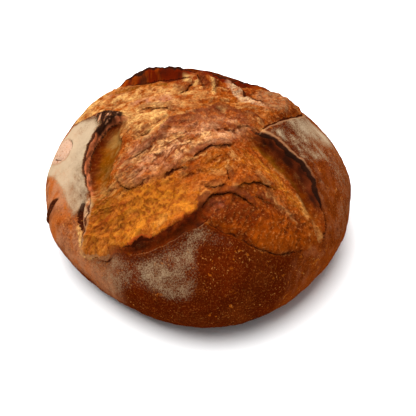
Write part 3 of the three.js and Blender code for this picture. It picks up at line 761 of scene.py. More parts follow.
# The net of burst gas cells: thin walls between round bowls of two sizes, and pits where the finest burst.
NET_WANDER = 2.2
net_u = U + NET_WANDER * crumple(U, V, 10.0, seed=21, octaves=2)
net_v = V + NET_WANDER * crumple(U, V, 10.0, seed=23, octaves=2)
first, second, owner = cells(net_u / 10.5, net_v / 8.0, 4)[:3]
net = np.exp(-(((second - first) / 0.11) ** 2))
pale_cells = (1 - ease_between(0.3, 0.75, first)) * (0.35 + 0.65 * drawn_number(owner))
bowls = np.minimum(first, 0.8)
first, second = cells(net_u / 5.0, net_v / 4.2, 14)[:2]
fine_net = np.exp(-(((second - first) / 0.16) ** 2))
bowls += 0.4 * np.minimum(first, 0.8)
first = cells(net_u / 3.6, net_v / 3.6, 8)[0]
pits = np.exp(-((first / 0.34) ** 2))
pits *= ease_between(-0.15, 0.35, crumple(U, V, 14.0, seed=85, octaves=1))


def drawn_out(heading, length, width, seed, octaves=3):
    """Sum of waves stretched along a heading, each half as wide as the one before and over half as high."""
    along, across = along_and_across(U, V, heading)
    total = np.zeros(U.shape)
    for octave in range(octaves):
        scale = 2**octave
        total += waves(along * scale / length, across * scale / width, seed + 5 * octave) / 1.7**octave
    return total


def cracked(heading, length, width, seed):
    """Thin wandering cracks along a heading: where noise drawn out along it passes through zero."""
    shown = ease_between(-0.1, 0.4, drawn_out(heading, 1.5 * length, 2.0 * width, seed + 31, octaves=1))
    return shown * np.exp(-((drawn_out(heading, length, width, seed) / 0.1) ** 2))


cracks = to_left * cracked(34, 30, 12, 101)
cracks += to_right * cracked(-45, 30, 11, 121)
cracks += to_back * cracked(6, 26, 12, 141)
heaves = crumple(U, V, 26.0, seed=19, octaves=2)
grain = crumple(U, V, 3.0, seed=17, octaves=2)
flaky = ease_between(-0.35, 0.4, crumple(U, V, 16.0, seed=91, octaves=2))

# All of it together is the torn crumb's relief. It is calmer in the grooves, on the wall and on the knob.
KNOB_MIDDLE, KNOB_HALF, KNOB_TURN = (60, 43), (15, 24), -10
torn = ease_between(0.5, 4, into_burst) * (1 - marks["cut_face"])
calm = (1 - 0.8 * marks["groove"]) * (1 - 0.75 * marks["wall"])
back_left = to_back * (1 - ease_between(-20, 20, U))
relief = 1.3 * heaves + (1 - 0.8 * on_lobe) * tear_height
relief += 0.5 * (1 - 0.5 * on_golden) * (1 - 0.8 * on_lobe) * plate_height
relief += (1.45 - 1.05 * on_golden - on_lobe - 0.2 * to_back - 0.6 * back_left) * crest_height
relief += (0.1 + 0.9 * on_golden) * (1.3 * net + 0.5 * fine_net + 2.2 * bowls - 1.5)
relief += on_lobe * (0.5 * fine_net + 0.8 * bowls - 0.6 + 0.35 * crumple(U, V, 5.0, seed=87, octaves=2))
relief -= (0.25 + 0.75 * on_lobe) * pits
relief -= cracks * (1 - 0.7 * on_golden) * (1 - 0.6 * back_left)
relief += (0.4 + 0.3 * flaky) * (1 - 0.5 * back_left) * grain
knob_bell = oval(KNOB_MIDDLE, KNOB_HALF, KNOB_TURN)
on_knob = ease_between(0.25, 0.45, knob_bell)
lift += torn * calm * (1 - 0.75 * on_knob) * relief

# The cut faces of the ears and the wall are torn too, but shallow and along their length.
face = np.maximum(marks["cut_face"], marks["wall"])
left_streaks = drawn_out(72, 10.0, 2.2, 111, octaves=2)
right_streaks = drawn_out(138, 12.0, 3.0, 131)
back_streaks = drawn_out(4, 12.0, 3.0, 151)
along_ear = np.where(V > 45, back_streaks, np.where(U < 0, left_streaks, right_streaks))
lift += face * (0.35 * crumple(U, V, 6.0, seed=25) + 0.45 * along_ear)

# ---- The skin ----
# The outside of the dough dries in the proving basket and bakes to a thin glassy crust: it puckers near the
# ears, blisters, and keeps the flour of the basket on the parts that it touched.

skin = 1 - ease_between(-0.6, 0.6, into_burst)
puckers = crumple(U, V, 30.0, seed=31)
first_blister = cells(U / 6.5, V / 6.5, 9)[0]
blisters = np.exp(-((first_blister / 0.26) ** 2))
blisters *= ease_between(0.0, 0.5, crumple(U, V, 22.0, seed=33, octaves=1))
lift += skin * (0.9 * puckers + 0.4 * blisters + 0.16 * crumple(U, V, 4.0, seed=35, octaves=2))

# The knob is a lump of skin rolled up like a snail's shell: its folds run with the way out and the turn.
KNOB_FOLDS = 2.0
knob_way = np.sqrt(-np.log(np.maximum(knob_bell, 1e-9)))
knob = 1 - ease_between(0.8, 1.05, knob_way + 0.12 * crumple(U, V, 12.0, seed=51, octaves=1))
knob_turn = np.arctan2(V - KNOB_MIDDLE[1], U - KNOB_MIDDLE[0]) / (2 * np.pi)
knob_turn += 0.35 * crumple(U, V, 18.0, seed=53, octaves=2)
knob_folds = np.sin(2 * np.pi * (KNOB_FOLDS * knob_way + knob_turn))
lift += knob * (1.1 * knob_folds + 0.8)

# ---- The loaf's mesh ----
# One closed body: the domed crust with its tears, the flat underside, and the foot where they meet.

PLAIN_FOOT = 30.0  # the relief dies out over this much of the skin above the foot
above = 1 - ease_between(MAP_RADIUS - PLAIN_FOOT, MAP_RADIUS, np.hypot(U, V))
place_u = U + above * shift_u
place_v = V + above * shift_v
crust = dome(place_u, place_v) + dome_normal(place_u, place_v) * (above * lift)[..., None]
crust[..., 2] = np.maximum(crust[..., 2], 0)

low, high = np.array(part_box("loaf")) / MM
middle = (crust.reshape(-1, 3).min(axis=0) + crust.reshape(-1, 3).max(axis=0)) / 2
crust[..., :2] += ((low + high) / 2 - middle)[:2]

number = np.arange(GRID * GRID).reshape(GRID, GRID)
foot_ring = np.concatenate([number[0, :-1], number[:-1, -1], number[-1, :0:-1], number[:0:-1, 0]])
crust[..., 2].ravel()[foot_ring] = 0
UNDERSIDE_RINGS = (0.94, 0.75, 0.45)
points = [crust.reshape(-1, 3)]
foot = points[0][foot_ring]
foot_middle = foot.mean(axis=0)
for share in UNDERSIDE_RINGS:
    points.append(foot_middle + share * (foot - foot_middle))
points.append(foot_middle[None])
points = np.vstack(points) * MM

squares = np.stack([number[:-1, :-1], number[:-1, 1:], number[1:, 1:], number[1:, :-1]], axis=-1)
quads = [squares.reshape(-1, 4)]
outer = foot_ring
for k in range(len(UNDERSIDE_RINGS)):
    inner = GRID * GRID + k * len(foot_ring) + np.arange(len(foot_ring))
    quads.append(np.stack([np.roll(outer, -1), outer, inner, np.roll(inner, -1)], axis=-1))
    outer = inner
quads = np.vstack(quads)
fan = np.stack([np.roll(outer, -1), outer, np.full(len(outer), len(points) - 1)], axis=-1)


def crust_mesh(name, points, quads, triangles):
    """Puts the points and the faces into one smooth-shaded mesh."""
    mesh = bpy.data.meshes.new(name)
    mesh.vertices.add(len(points))
    mesh.vertices.foreach_set("co", points.ravel())
    corners = np.concatenate([quads.ravel(), triangles.ravel()])
    sizes = np.concatenate([np.full(len(quads), 4), np.full(len(triangles), 3)])
    mesh.loops.add(len(corners))
    mesh.loops.foreach_set("vertex_index", corners)
    mesh.polygons.add(len(sizes))
    mesh.polygons.foreach_set("loop_start", np.concatenate([[0], np.cumsum(sizes)[:-1]]))
    mesh.polygons.foreach_set("loop_total", sizes)
    mesh.update()
    mesh.validate()
    mesh.shade_smooth()
    return mesh


loaf = bpy.data.objects.new("loaf_crust", crust_mesh("loaf_crust", points, quads, fan))
bpy.context.scene.collection.objects.link(loaf)
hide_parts("loaf")
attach(loaf, "root")

# ---- Baked colours ----
# The same dough bakes from pale gold in the hollows, over orange and red-brown on the crests, to near black
# on the thin edges. Each part's colours are laid over one another in the order in which they show.


def shade(red, green, blue):
    """A colour as an eye reads it, 0 to 255, turned into light."""
    value = np.array([red, green, blue]) / 255
    return np.where(value <= 0.04045, value / 12.92, ((value + 0.055) / 1.055) ** 2.4)


def mix(under, over, amount):
    """Under where amount is 0, over where it is 1."""
    return under + np.clip(amount, 0, 1)[..., None] * (over - under)


def lay(under, layers):
    """Mixes one colour after another over what is there, each by its own amount."""
    for over, amount in layers:
        under = mix(under, over, amount)
    return under


def all_over(colour):
    """One colour for the whole map."""
    return np.broadcast_to(colour, U.shape + (3,))


patchy = crumple(U, V, 34.0, seed=63)
mottled = crumple(U, V, 7.0, seed=65)


def blotches(low, high, more=0.0):
    """Small soft blotches: an S of the mottling between two levels, with more of them shown."""
    return ease_between(low, high, mottled + more)


# The crumb: its way of tearing sets the ground, and each named part lies over it.
GOLD = shade(138, 79, 14)
AMBER = shade(119, 46, 5)
TAN = shade(194, 142, 100)
CREAM = shade(216, 172, 102)
YELLOW = shade(170, 102, 26)
CELL_GOLD = shade(150, 91, 26)
PINK_TAN = shade(150, 92, 70)
RUST = shade(112, 44, 12)
CHESTNUT = shade(58, 18, 6)
PLUM = shade(84, 33, 16)
BROW_BROWN = shade(106, 50, 24)
LOBE_BROWN = shade(78, 23, 1)
LOBE_GOLD = shade(120, 51, 3)
LOBE_SHADE = shade(66, 21, 4)
LIT_SHEET_ORANGE = shade(136, 58, 15)
OLIVE_DEEP = shade(87, 52, 3)

# Painted light from the relief: what stands out is lightened as painted highlight, and hollows are darkened
# as painted shade.
stands_out = lift - soften(lift, 6)
crest = ease_between(0.1, 1.1, stands_out)
shade_in_hollows = 1 - ease_between(-1.2, -0.1, stands_out)
golden = 0.1 + 1.2 * on_golden + 0.1 * to_back - 0.5 * on_plateau + 0.35 * patchy

over_brow = patch([
    [-24, 4], [-10, 12], [4, 15], [15, 23], [24, 19], [36, 12], [50, 5], [42, -2], [20, 2], [0, -2],
    [-16, -4],
], 5)
under_brow = patch([
    [-45, -15], [-37, -15.5], [-31, -15], [-24, -8], [-20, 0.5], [-11, 3], [-4, 13], [4, 24], [13, 19.5],
    [23, 16], [30, 12], [37, 6.5], [37, 3], [29, 7.5], [22, 11.5], [12, 14.5], [5, 17], [-2, 8],
    [-10, -1.5], [-22, -4], [-26, -11], [-31, -19], [-38, -19.5], [-45, -17.5],
], 1.5)
front_golden = patch([
    [-62, -90], [-40, -89], [-24, -84], [-12, -79], [-4, -71], [-14, -71], [-30, -76], [-46, -79],
    [-60, -80],
], 3)
plateau_foot = patch([[-62, -30], [-54, -48], [-30, -46], [-18, -38], [-30, -26], [-50, -18]], 6)
by_slit = patch([[-88, -46], [-66, -46], [-64, -62], [-69, -80], [-80, -92], [-96, -86], [-91, -64]], 6)
by_left_ear = patch([[-87, -40], [-72, -38], [-70, -54], [-74, -70], [-84, -72], [-89, -56]], 4)
left_of_middle = patch([[-60, 18], [-57, 4], [-48, -8], [-34, -4], [-24, 8], [-26, 22], [-44, 27]], 5)
right_bank = patch([
    [30, -24], [50, -34], [70, -48], [92, -62], [78, -62], [58, -54], [44, -46], [30, -38],
], 5)
right_ridge = patch([
    [33, -23], [43, -27], [52, -31], [60, -37], [68, -43], [77, -49], [86, -55], [93, -61], [84, -60],
    [74, -54], [63, -47], [50, -38], [38, -30],
], 2)
crumb = lay(all_over(AMBER), [
    (GOLD, golden),
    (RUST, 0.6 * (0.1 - golden)),
    (CELL_GOLD, on_golden * pale_cells),
    (TAN, on_plateau * ease_between(-0.7, 0.3, mottled + 0.4 * patchy)),
    (RUST, 0.4 * by_slit * blotches(-0.6, 0.2)),
    (OLIVE_DEEP, 0.7 * by_left_ear),
    (YELLOW, 0.5 * front_golden),
    (BROW_BROWN, 0.9 * over_brow * blotches(-0.6, 0.3, 0.2)),
    # Plum on the brow's front slope: partly its baked colour, partly painted shade of a slope that faces
    # away from the light.
    (PLUM, 0.85 * under_brow * blotches(-0.5, 0.1, 0.25)),
    (CREAM, 0.7 * left_of_middle),
    (CREAM, 0.75 * to_back * (1 - ease_between(-30, 20, U)) * blotches(-0.6, 0.4)),
    (1.35 * GOLD, 0.6 * right_bank * blotches(-0.5, 0.3)),
    (YELLOW, 0.75 * right_ridge),
    (RUST, 0.4 * plateau_foot),
    (RUST, 0.45 * tear_edge),
    (GOLD, 0.35 * tear_hollow),
    (CREAM, 0.3 * ease_between(0.6, 0.75, plate_number) * (1 - on_golden)),
    (RUST, 0.45 * (1 - ease_between(0.25, 0.4, plate_number))),
])

# The front right lobe and the shoulder behind the right ear bake darkest. At the lobe's crest light is
# painted: the sheet behind it is lightened where it faces the light, and the lobe under it is darkened as
# painted shade.
over_lobe = patch([
    [8, -84], [-2, -74], [12, -62], [20, -59], [40, -64], [60, -66], [84, -74], [100, -78], [84, -90],
    [60, -97], [34, -95], [14, -88],
], 4)
# Painted shade: a dark line along the lobe's crest, where the crest shades the lobe below; the material
# lays it as lobe_dark.
over_crest = patch([
    [-6, -77], [-3, -70], [4, -62], [12, -57], [22, -56], [32, -59], [42, -63], [34, -65], [21, -62],
    [12, -64], [5, -69], [0, -76],
], 1.5)
over_crest *= blotches(-0.3, 0.3, 0.15)
over_shoulder = patch([[48, 2], [58, 6], [72, 20], [84, 36], [78, 50], [60, 30], [50, 12], [38, 12]], 6)
behind_crest = patch([
    [-8, -68], [0, -61], [12, -57], [28, -53], [42, -46], [54, -42], [44, -37], [24, -43], [6, -47],
    [-8, -56],
], 4)
lobe_top = patch([
    [-2, -77], [8, -67], [18, -62], [30, -64], [41, -69], [54, -74], [44, -80], [30, -80], [16, -82],
    [6, -81],
], 3)
lobe_back = patch([
    [26, -58], [36, -54], [48, -50], [60, -52], [76, -60], [94, -70], [84, -75], [64, -70], [46, -67],
    [34, -63],
], 4)
lobe_front = patch([[46, -80], [60, -76], [84, -78], [96, -82], [82, -92], [60, -96], [40, -94]], 5)
crumb = lay(crumb, [
    (mix(all_over(LOBE_BROWN), LOBE_GOLD, 0.4 + mottled), over_lobe),
    (LOBE_BROWN, 0.9 * over_shoulder),
    (LIT_SHEET_ORANGE, 0.5 * behind_crest),
    (PINK_TAN, 0.6 * oval((12, -72), (7, 4), 20)),
    (LOBE_SHADE, 0.8 * lobe_top * blotches(-0.6, 0.1, 0.25)),
    (LOBE_SHADE, 0.8 * lobe_back * blotches(-0.5, 0.2, 0.1)),
    (LOBE_GOLD, 0.6 * lobe_front),
])

# Then the fine lines: pale spots by name, crests lightened as painted highlight, and rust and chestnut as
# painted shade in what lies deep: hollows, plate edges, pits and named pockets.
PALE_SPOTS = [((-43, 35), (9, 4), 0), ((-26, 33), (6, 8), 20), ((-68, 58), (8, 3), 0)]
# Painted shade: chestnut spots in pockets and under edges where shade falls.
SHADED_POCKETS = [
    ((-67, 46), (6, 5), 0), ((-14, 52), (6, 8), 0), ((6, 56), (6, 5), 0), ((22, 59), (9, 3), 0),
    ((-50, 62), (14, 4), 0), ((40, 23), (5, 4), 0), ((15, 14), (4, 4), 0), ((-55, -38), (4, 8), 20),
]
CREST_HIGHLIGHT = 1.4  # how much lighter a crest is painted than the crumb beside it, as painted highlight
crumb = lay(mix(crumb, CREST_HIGHLIGHT * crumb, crest), [
    (RUST, 0.7 * shade_in_hollows),
    (0.6 * RUST, 0.5 * shade_in_hollows**2),
    (CHESTNUT, 0.35 * plate_edge * (1 - 0.6 * on_golden)),
    (CHESTNUT, 0.75 * pits * (0.2 + 0.8 * on_lobe)),
    *[(PINK_TAN, oval(*spot) * blotches(-0.5, 0.2)) for spot in PALE_SPOTS],
    *[(CHESTNUT, 0.85 * oval(*spot)) for spot in SHADED_POCKETS],
])

# The ears' grooves bake least: amber, with olive where they are still moist. The dark red under the ear is
# painted shadow that the ear casts.
TROUGH_SHADOW_RED = shade(54, 10, 1)
TROUGH_GOLD = shade(85, 43, 0)
TROUGH_AMBER = shade(84, 33, 0)
OLIVE_DARK = shade(64, 38, 4)
OLIVE_PALE = shade(104, 72, 32)

left_trough = patch([[-74, 8], [-68, 13], [-60, 11], [-57, 0], [-60, -12], [-67, -16], [-72, -6]], 4)
right_trough = patch([
    [28, -12], [44, -17], [56, -22], [67, -29], [64, -33], [52, -29], [40, -23], [28, -16],
], 2)
trough = lay(all_over(TROUGH_GOLD), [
    (TROUGH_AMBER, ease_between(-20, 10, U)),
    (OLIVE_PALE, ease_between(-0.5, 0.3, drawn_out(70, 14, 6, 67)) * left_trough),
    (OLIVE_DARK, 0.9 * oval((-75, -30), (5, 10), 12)),
    (OLIVE_DEEP, right_trough),
    (1.3 * GOLD, 0.5 * ease_between(10, 16, down_trough) * ease_between(10, 24, U)),
    (OLIVE_DEEP, 0.8 * oval((75, -40), (8, 2.4), -28) + 0.8 * oval((88, -47), (6, 2), -35)),
    (TROUGH_SHADOW_RED, 1 - ease_between(6, 14, down_trough + 2.5 * mottled)),
    (TROUGH_AMBER, 0.7 * (1 - ease_between(-48, -36, V)) * blotches(-0.3, 0.3)),
])
crumb = crumb + (0.95 * marks["groove"])[..., None] * (trough - crumb)

# The bare skin: dark and glassy, rosy where the basket's flour was brushed off, orange where it is thin.
SKIN_BROWN = shade(71, 19, 1)
SKIN_DARK = shade(51, 11, 1)
SKIN_TOASTED = shade(106, 44, 7)
SKIN_ROSY = shade(138, 88, 58)
SKIN_ORANGE = shade(136, 66, 18)

above_waist = 1 - ease_between(146, 172, np.hypot(U, V) + 8 * patchy)
left_skin = 1 - ease_between(-116, -88, U + 10 * patchy)
left_skin *= 1 - ease_between(30, 90, V + 20 * patchy)
left_skin *= above_waist
right_skin = ease_between(70, 100, U + 6 * patchy)
right_skin *= 1 - ease_between(20, 80, V + 20 * patchy)
right_skin *= above_waist
bare = lay(all_over(SKIN_BROWN), [
    (SKIN_DARK, 0.6 + 0.7 * patchy + 0.25 * mottled),
    (SKIN_TOASTED, 0.9 * ease_between(70, 110, U) + 0.3 * patchy),
    (SKIN_ROSY, left_skin),
    (SKIN_ORANGE, 0.8 * left_skin * ease_between(-0.15, 0.5, crumple(U, V, 15.0, seed=61, octaves=5))),
    (SKIN_BROWN, 0.6 * left_skin * ease_between(-0.1, 0.6, -crumple(U, V, 13.0, seed=59, octaves=5))),
    (SKIN_ROSY, 0.2 * right_skin * ease_between(-0.2, 0.5, crumple(U, V, 10.0, seed=171, octaves=5))),
    (SKIN_DARK, 0.34 * right_skin * ease_between(-0.1, 0.5, -crumple(U, V, 8.0, seed=173, octaves=5))),
    (SKIN_BROWN, 0.6 * oval((108, -6), (16, 16), 0)),
    # Painted shade: chestnut under the lifted lip of the crack low on the left side.
    (CHESTNUT, 0.75 * oval((-134, -40), (11, 4), -10)),
    (SKIN_ORANGE, 0.8 * oval((-124, -47), (10, 6), -30)),
])

# The cut faces of the ears and the wall: torn fibres burnt in streaks along their length, with painted
# highlights of the glaze on the left ear's face.
CUT_BROWN = shade(76, 27, 8)
CUT_LEFT = shade(170, 92, 54)
CUT_BACK = shade(88, 21, 3)
EAR_HIGHLIGHT = shade(134, 92, 66)
EAR_BROWN = shade(112, 62, 34)
BURNT = shade(30, 16, 10)
WALL_RED = shade(78, 17, 2)
WALL_BROWN = shade(106, 38, 5)
LIP_RED = shade(152, 62, 22)
KNOB_TAN = shade(134, 92, 58)

WALL_SPOTS = [((-12, -91), (7, 3), 28), ((-50, -97), (9, 4), -8), ((0, -84), (4, 2.5), 30)]
streaked = ease_between(-0.45, 0.45, crumple(U, V, 4.0, seed=95))
cut_face, left_face, back_face = marks["cut_face"], marks["left_face"], marks["back_face"]
wall = marks["wall"]
amber_face = ease_between(-0.1, 0.3, drawn_out(30, 9, 4, 161) - (U + 40) / 50)
right_face = cut_face * (1 - left_face) * (1 - back_face) * ease_between(0, 10, U)
baked = lay(mix(bare, crumb, ease_between(0.0, 1.2, into_burst)), [
    (KNOB_TAN, 0.85 * knob),
    # Painted shade: rust in the creases between the knob's folds.
    (RUST, 0.75 * knob * ease_between(0.1, 0.8, -knob_folds) * blotches(-0.5, 0.1)),
    (CUT_BROWN, cut_face),
    (CUT_LEFT, left_face),
    (CUT_BACK, back_face),
    (AMBER, back_face * ease_between(42, 50, U)),
    (AMBER, 0.9 * back_face * amber_face),
    (WALL_RED, wall),
    (BURNT, 0.45 * wall * (1 - streaked)),
    (LIP_RED, 0.25 * wall * streaked),
    (LIP_RED, 0.4 * wall * (1 - ease_between(-62, -44, U))),
    (WALL_BROWN, 0.8 * wall * marks["wall_foot"] * blotches(-0.5, 0.2, 0.2)),
    *[(BURNT, 0.8 * wall * oval(*spot)) for spot in WALL_SPOTS],
    (BURNT, 0.78 * cut_face * (1 - ease_between(-0.5, 0.4, along_ear))),
    (EAR_HIGHLIGHT, 0.5 * left_face * ease_between(0.25, 0.7, along_ear)),
    (EAR_BROWN, 0.15 * right_face * ease_between(0.1, 0.5, along_ear + 0.3 * jagged)),
])

# The back groove and its bridge, the burnt tip of the left ear, and the front left corner.
PALE_EDGE = shade(140, 100, 68)
SCRAP_TAN = shade(178, 146, 110)

back_foot = patch([[-72, 56], [-50, 55], [-22, 56], [-20, 66], [-44, 69], [-70, 72]], 3)
back_olive = patch([
    [-66, 58], [-50, 58], [-36, 55], [-24, 52], [-24, 55], [-38, 59], [-52, 62], [-66, 62],
], 1.5)
bridge_dark = patch([
    [-14, 50], [-4, 52], [10, 55], [30, 59], [36, 66], [10, 69], [-10, 66], [-22, 62], [-20, 54],
], 2.5)
hollows = patch([[-29, 66], [-20, 68], [-16, 61], [-20, 55], [-27, 55], [-30, 60]], 2)
hollows += patch([[0, 60], [6, 60], [8, 52], [7, 46], [3, 45], [0, 50]], 1.5)
hollows += patch([[8, 60], [20, 60], [32, 56], [42, 53], [44, 48], [33, 48], [21, 52], [9, 51]], 1.5)
bridge_folds = patch([[7, 62], [10, 62], [12, 50], [13, 40], [10, 38], [9, 48]], 1.2)
bridge_folds += patch([[-12, 64], [-4, 62], [-2, 52], [-6, 50], [-12, 55]], 2) * blotches(-0.3, 0.2)
over_tip = patch([
    [-80, 6], [-81, 18], [-81, 29], [-73, 30], [-66, 26], [-58, 21], [-58, 18.5], [-65, 17], [-71, 13],
    [-76, 6],
], 1.2)
corner_edge = patch([
    [-105, -66], [-101, -66], [-102, -77], [-106, -85], [-101, -90], [-93, -93], [-93, -96], [-104, -95],
    [-111, -88], [-106, -77],
], 1.2)
corner_skin = patch([
    [-112, -88], [-100, -93], [-86, -101], [-74, -102], [-80, -120], [-88, -142], [-106, -140],
    [-120, -110],
], 13)
corner_scrap = patch([
    [-95, -49], [-90, -48], [-87, -56], [-91, -66], [-94, -74], [-98, -82], [-103, -84], [-98, -74],
    [-96, -64], [-94, -56],
], 1.2)
baked = lay(baked, [
    (RUST, 0.6 * back_foot * (1 - back_face) * blotches(-0.5, 0.2)),
    # Painted light at the back groove: the groove under the ear and the hollows in it are darkened as
    # painted shade, and the bridge's folds are lightened with cream as painted highlight.
    (CUT_BACK, 0.85 * bridge_dark * blotches(-0.7, 0.1, 0.2)),
    (CUT_BACK, 0.9 * hollows * blotches(-0.7, 0.0, 0.3)),
    (CREAM, 0.6 * bridge_folds),
    (OLIVE_DEEP, 0.8 * back_olive),
    (PALE_EDGE, 0.65 * marks["floured_lip"]),
    (BURNT, 0.97 * over_tip),
    # Painted highlights: pale streaks of glaze catching the light on the burnt tip.
    (1.7 * EAR_HIGHLIGHT, 0.8 * over_tip * ease_between(0.3, 0.55, drawn_out(60, 8, 2.6, 117))),
    (CREAM, 0.75 * corner_edge * (0.3 + 0.7 * streaked)),
    # Painted shade: dark red in a pocket under the front left corner's lip.
    (WALL_RED, 0.8 * oval((-83, -99), (4, 2), -20)),
    (SKIN_ROSY, 0.7 * corner_skin * (0.8 + 0.5 * mottled)),
    (SCRAP_TAN, 0.85 * corner_scrap * (0.3 + 0.7 * streaked)),
    (SCRAP_TAN, 0.85 * marks["scrap"]),
])

# Flour keeps its place on the skin as a grey-white bloom, thick on the left flap, where a flake of it has
# come off and shows pale skin, and in streaks and clouds elsewhere. The cut faces and the crumb have none.
PLASTER = shade(160, 128, 106)
flap_streaks = drawn_out(-62, 26, 5, 97)
flap_clouds = crumple(U, V, 16.0, seed=99)
front_clouds = crumple(U, V, 13.0, seed=105)
side_streaks = drawn_out(-58, 20, 5, 127)
right_clouds = crumple(U, V, 9.0, seed=175)

flour = patch([
    [-77, 16], [-82, 29], [-92, 36], [-104, 41], [-116, 40], [-138, 32], [-142, 14], [-130, 0],
    [-121, -12], [-114, -28], [-111, -42], [-106, -56], [-98, -54], [-88, -44], [-90, -24], [-82, 0],
], 4)
flour *= 1.12 + 0.14 * flap_streaks + 0.18 * flap_clouds - 0.25 * ease_between(10, 45, -V)
flaked_off = patch([[-128, 14], [-118, 4], [-108, 2], [-103, 6], [-104, 18], [-110, 30], [-122, 30]], 1.2)
flour *= 1 - 0.75 * flaked_off
baked = mix(baked, PLASTER, flaked_off)
for thickness, outline, soft in [
    # Under the wall, from the corner to the middle of the front.
    (0.56 + 0.1 * patchy + 0.22 * front_clouds, [
        [-92, -100], [-90, -112], [-78, -130], [-60, -126], [-42, -132], [-20, -140], [-4, -136],
        [-1, -118], [0, -100], [8, -92], [4, -86], [-13, -95], [-28, -103], [-52, -107], [-72, -101],
    ], 7),
    (0.22, [[2, -86], [12, -89], [24, -93], [30, -98], [20, -99], [6, -96]], 3),
    (0.42, [[-104, -92], [-92, -97], [-78, -102], [-76, -118], [-82, -138], [-96, -134], [-108, -112]], 6),
    # The right-hand flap, from its top to its side.
    (0.9 + 0.2 * side_streaks + 0.2 * patchy, [
        [64, 12], [80, 30], [92, 46], [112, 42], [118, 26], [108, 14], [92, 8], [76, 8],
    ], 9),
    (0.5 + 0.2 * side_streaks + 0.45 * right_clouds, [
        [52, -6], [62, 6], [76, 18], [100, 24], [104, 6], [98, -8], [90, -18], [78, -20], [64, -13],
    ], 6),
    (0.34 + 0.15 * side_streaks, [
        [100, 10], [120, 34], [140, 10], [144, -24], [138, -60], [124, -62], [118, -24], [110, -16],
    ], 8),
    (0.3 * ease_between(0.1, 0.5, right_clouds), [
        [78, -20], [104, 0], [124, -16], [120, -70], [104, -70], [92, -44],
    ], 6),
]:
    flour = np.maximum(flour, thickness * patch(outline, soft))
flour = np.maximum(flour, 0.8 * oval((97, 2), (14, 4), -28))
flour *= (1 - cut_face) * (1 - ease_between(0, 0.6, into_burst))
flour = np.maximum(flour, 0.3 * knob)


def give(name, values, kind="FLOAT"):
    """Stores a number, place or colour per point; the underside takes 0, its own place, or dark skin."""
    below = len(points) - GRID * GRID
    if kind == "FLOAT":
        data = np.concatenate([values.ravel(), np.zeros(below)])
        loaf.data.attributes.new(name, "FLOAT", "POINT").data.foreach_set("value", data)
    elif kind == "PLACE":
        data = np.vstack([values.reshape(-1, 3), points[GRID * GRID:] / MM])
        loaf.data.attributes.new(name, "FLOAT_VECTOR", "POINT").data.foreach_set("vector", data.ravel())
    else:
        colours = np.vstack([values.reshape(-1, 3), np.broadcast_to(SKIN_DARK, (below, 3))])
        data = np.column_stack([colours, np.ones(len(colours))])
        loaf.data.color_attributes.new(name, "FLOAT_COLOR", "POINT").data.foreach_set("color", data.ravel())


OVEN_LIGHT = 1.28  # all the baked colours are this much lighter under the studio's light
off_groove = 1 - marks["groove"]
crumbly = torn * (1 - 0.85 * marks["groove"]) * (1 - 0.7 * wall)
crumbly = np.maximum(crumbly, 0.8 * patch([
    [-124, -50], [-104, -52], [-90, -44], [-88, -60], [-96, -84], [-84, -100], [-90, -112], [-112, -94],
    [-124, -72],
], 3))
bare_crumb = torn * off_groove * (1 - wall)
lines = np.maximum(0.8 * net, 0.5 * fine_net)

give("baked", OVEN_LIGHT * baked, kind="COLOUR")
give("crust_map", np.stack([U, V, 0 * U], axis=-1), kind="PLACE")
for name, values in [
    ("flour", np.clip(flour, 0, 1.5)),
    ("blistered", skin * (1 - ease_between(0.2, 0.9, flour))),
    ("crumbly", crumbly * (1 - 0.7 * on_golden - 0.35 * on_lobe)),
    ("stringy", crumbly * (1 - 0.6 * on_golden - 0.9 * on_lobe)),
    ("glossy", torn * on_plateau),
    ("pull_left", to_left),
    ("pull_right", to_right),
    ("pull_back", to_back),
    ("crazed", torn * off_groove * (1 - 0.7 * back_left - 0.5 * on_golden) * (1 - 0.85 * on_lobe)),
    ("net", bare_crumb * lines * (0.1 + 0.9 * on_golden) * (1 - 0.5 * on_lobe)),
    ("cracks", bare_crumb * cracks * (1 - 0.6 * on_golden) * (1 - 0.6 * back_left) * (1 - 0.8 * on_lobe)),
    ("plum", torn * marks["crest"] * ease_between(-0.5, 0.2, jagged + 0.4)),
    ("lobe_dark", over_crest),
    ("lip", marks["lip"]),
    ("burnt_and_shade", marks["burnt_and_shade"]),
    ("pale", marks["pale"]),
    ("painted_shade", marks["painted_shade"]),
]:
    give(name, values)

CRUST_ROUGHNESS = 0.5
FLOUR_ROUGHNESS = 0.35  # what flour adds to it
BUMP_STRENGTH = 0.9
GLAZE_ROUGHNESS = 0.38
GLAZE_SHARE = 0.02  # how much of the light the thin glaze on the torn plateau sends back


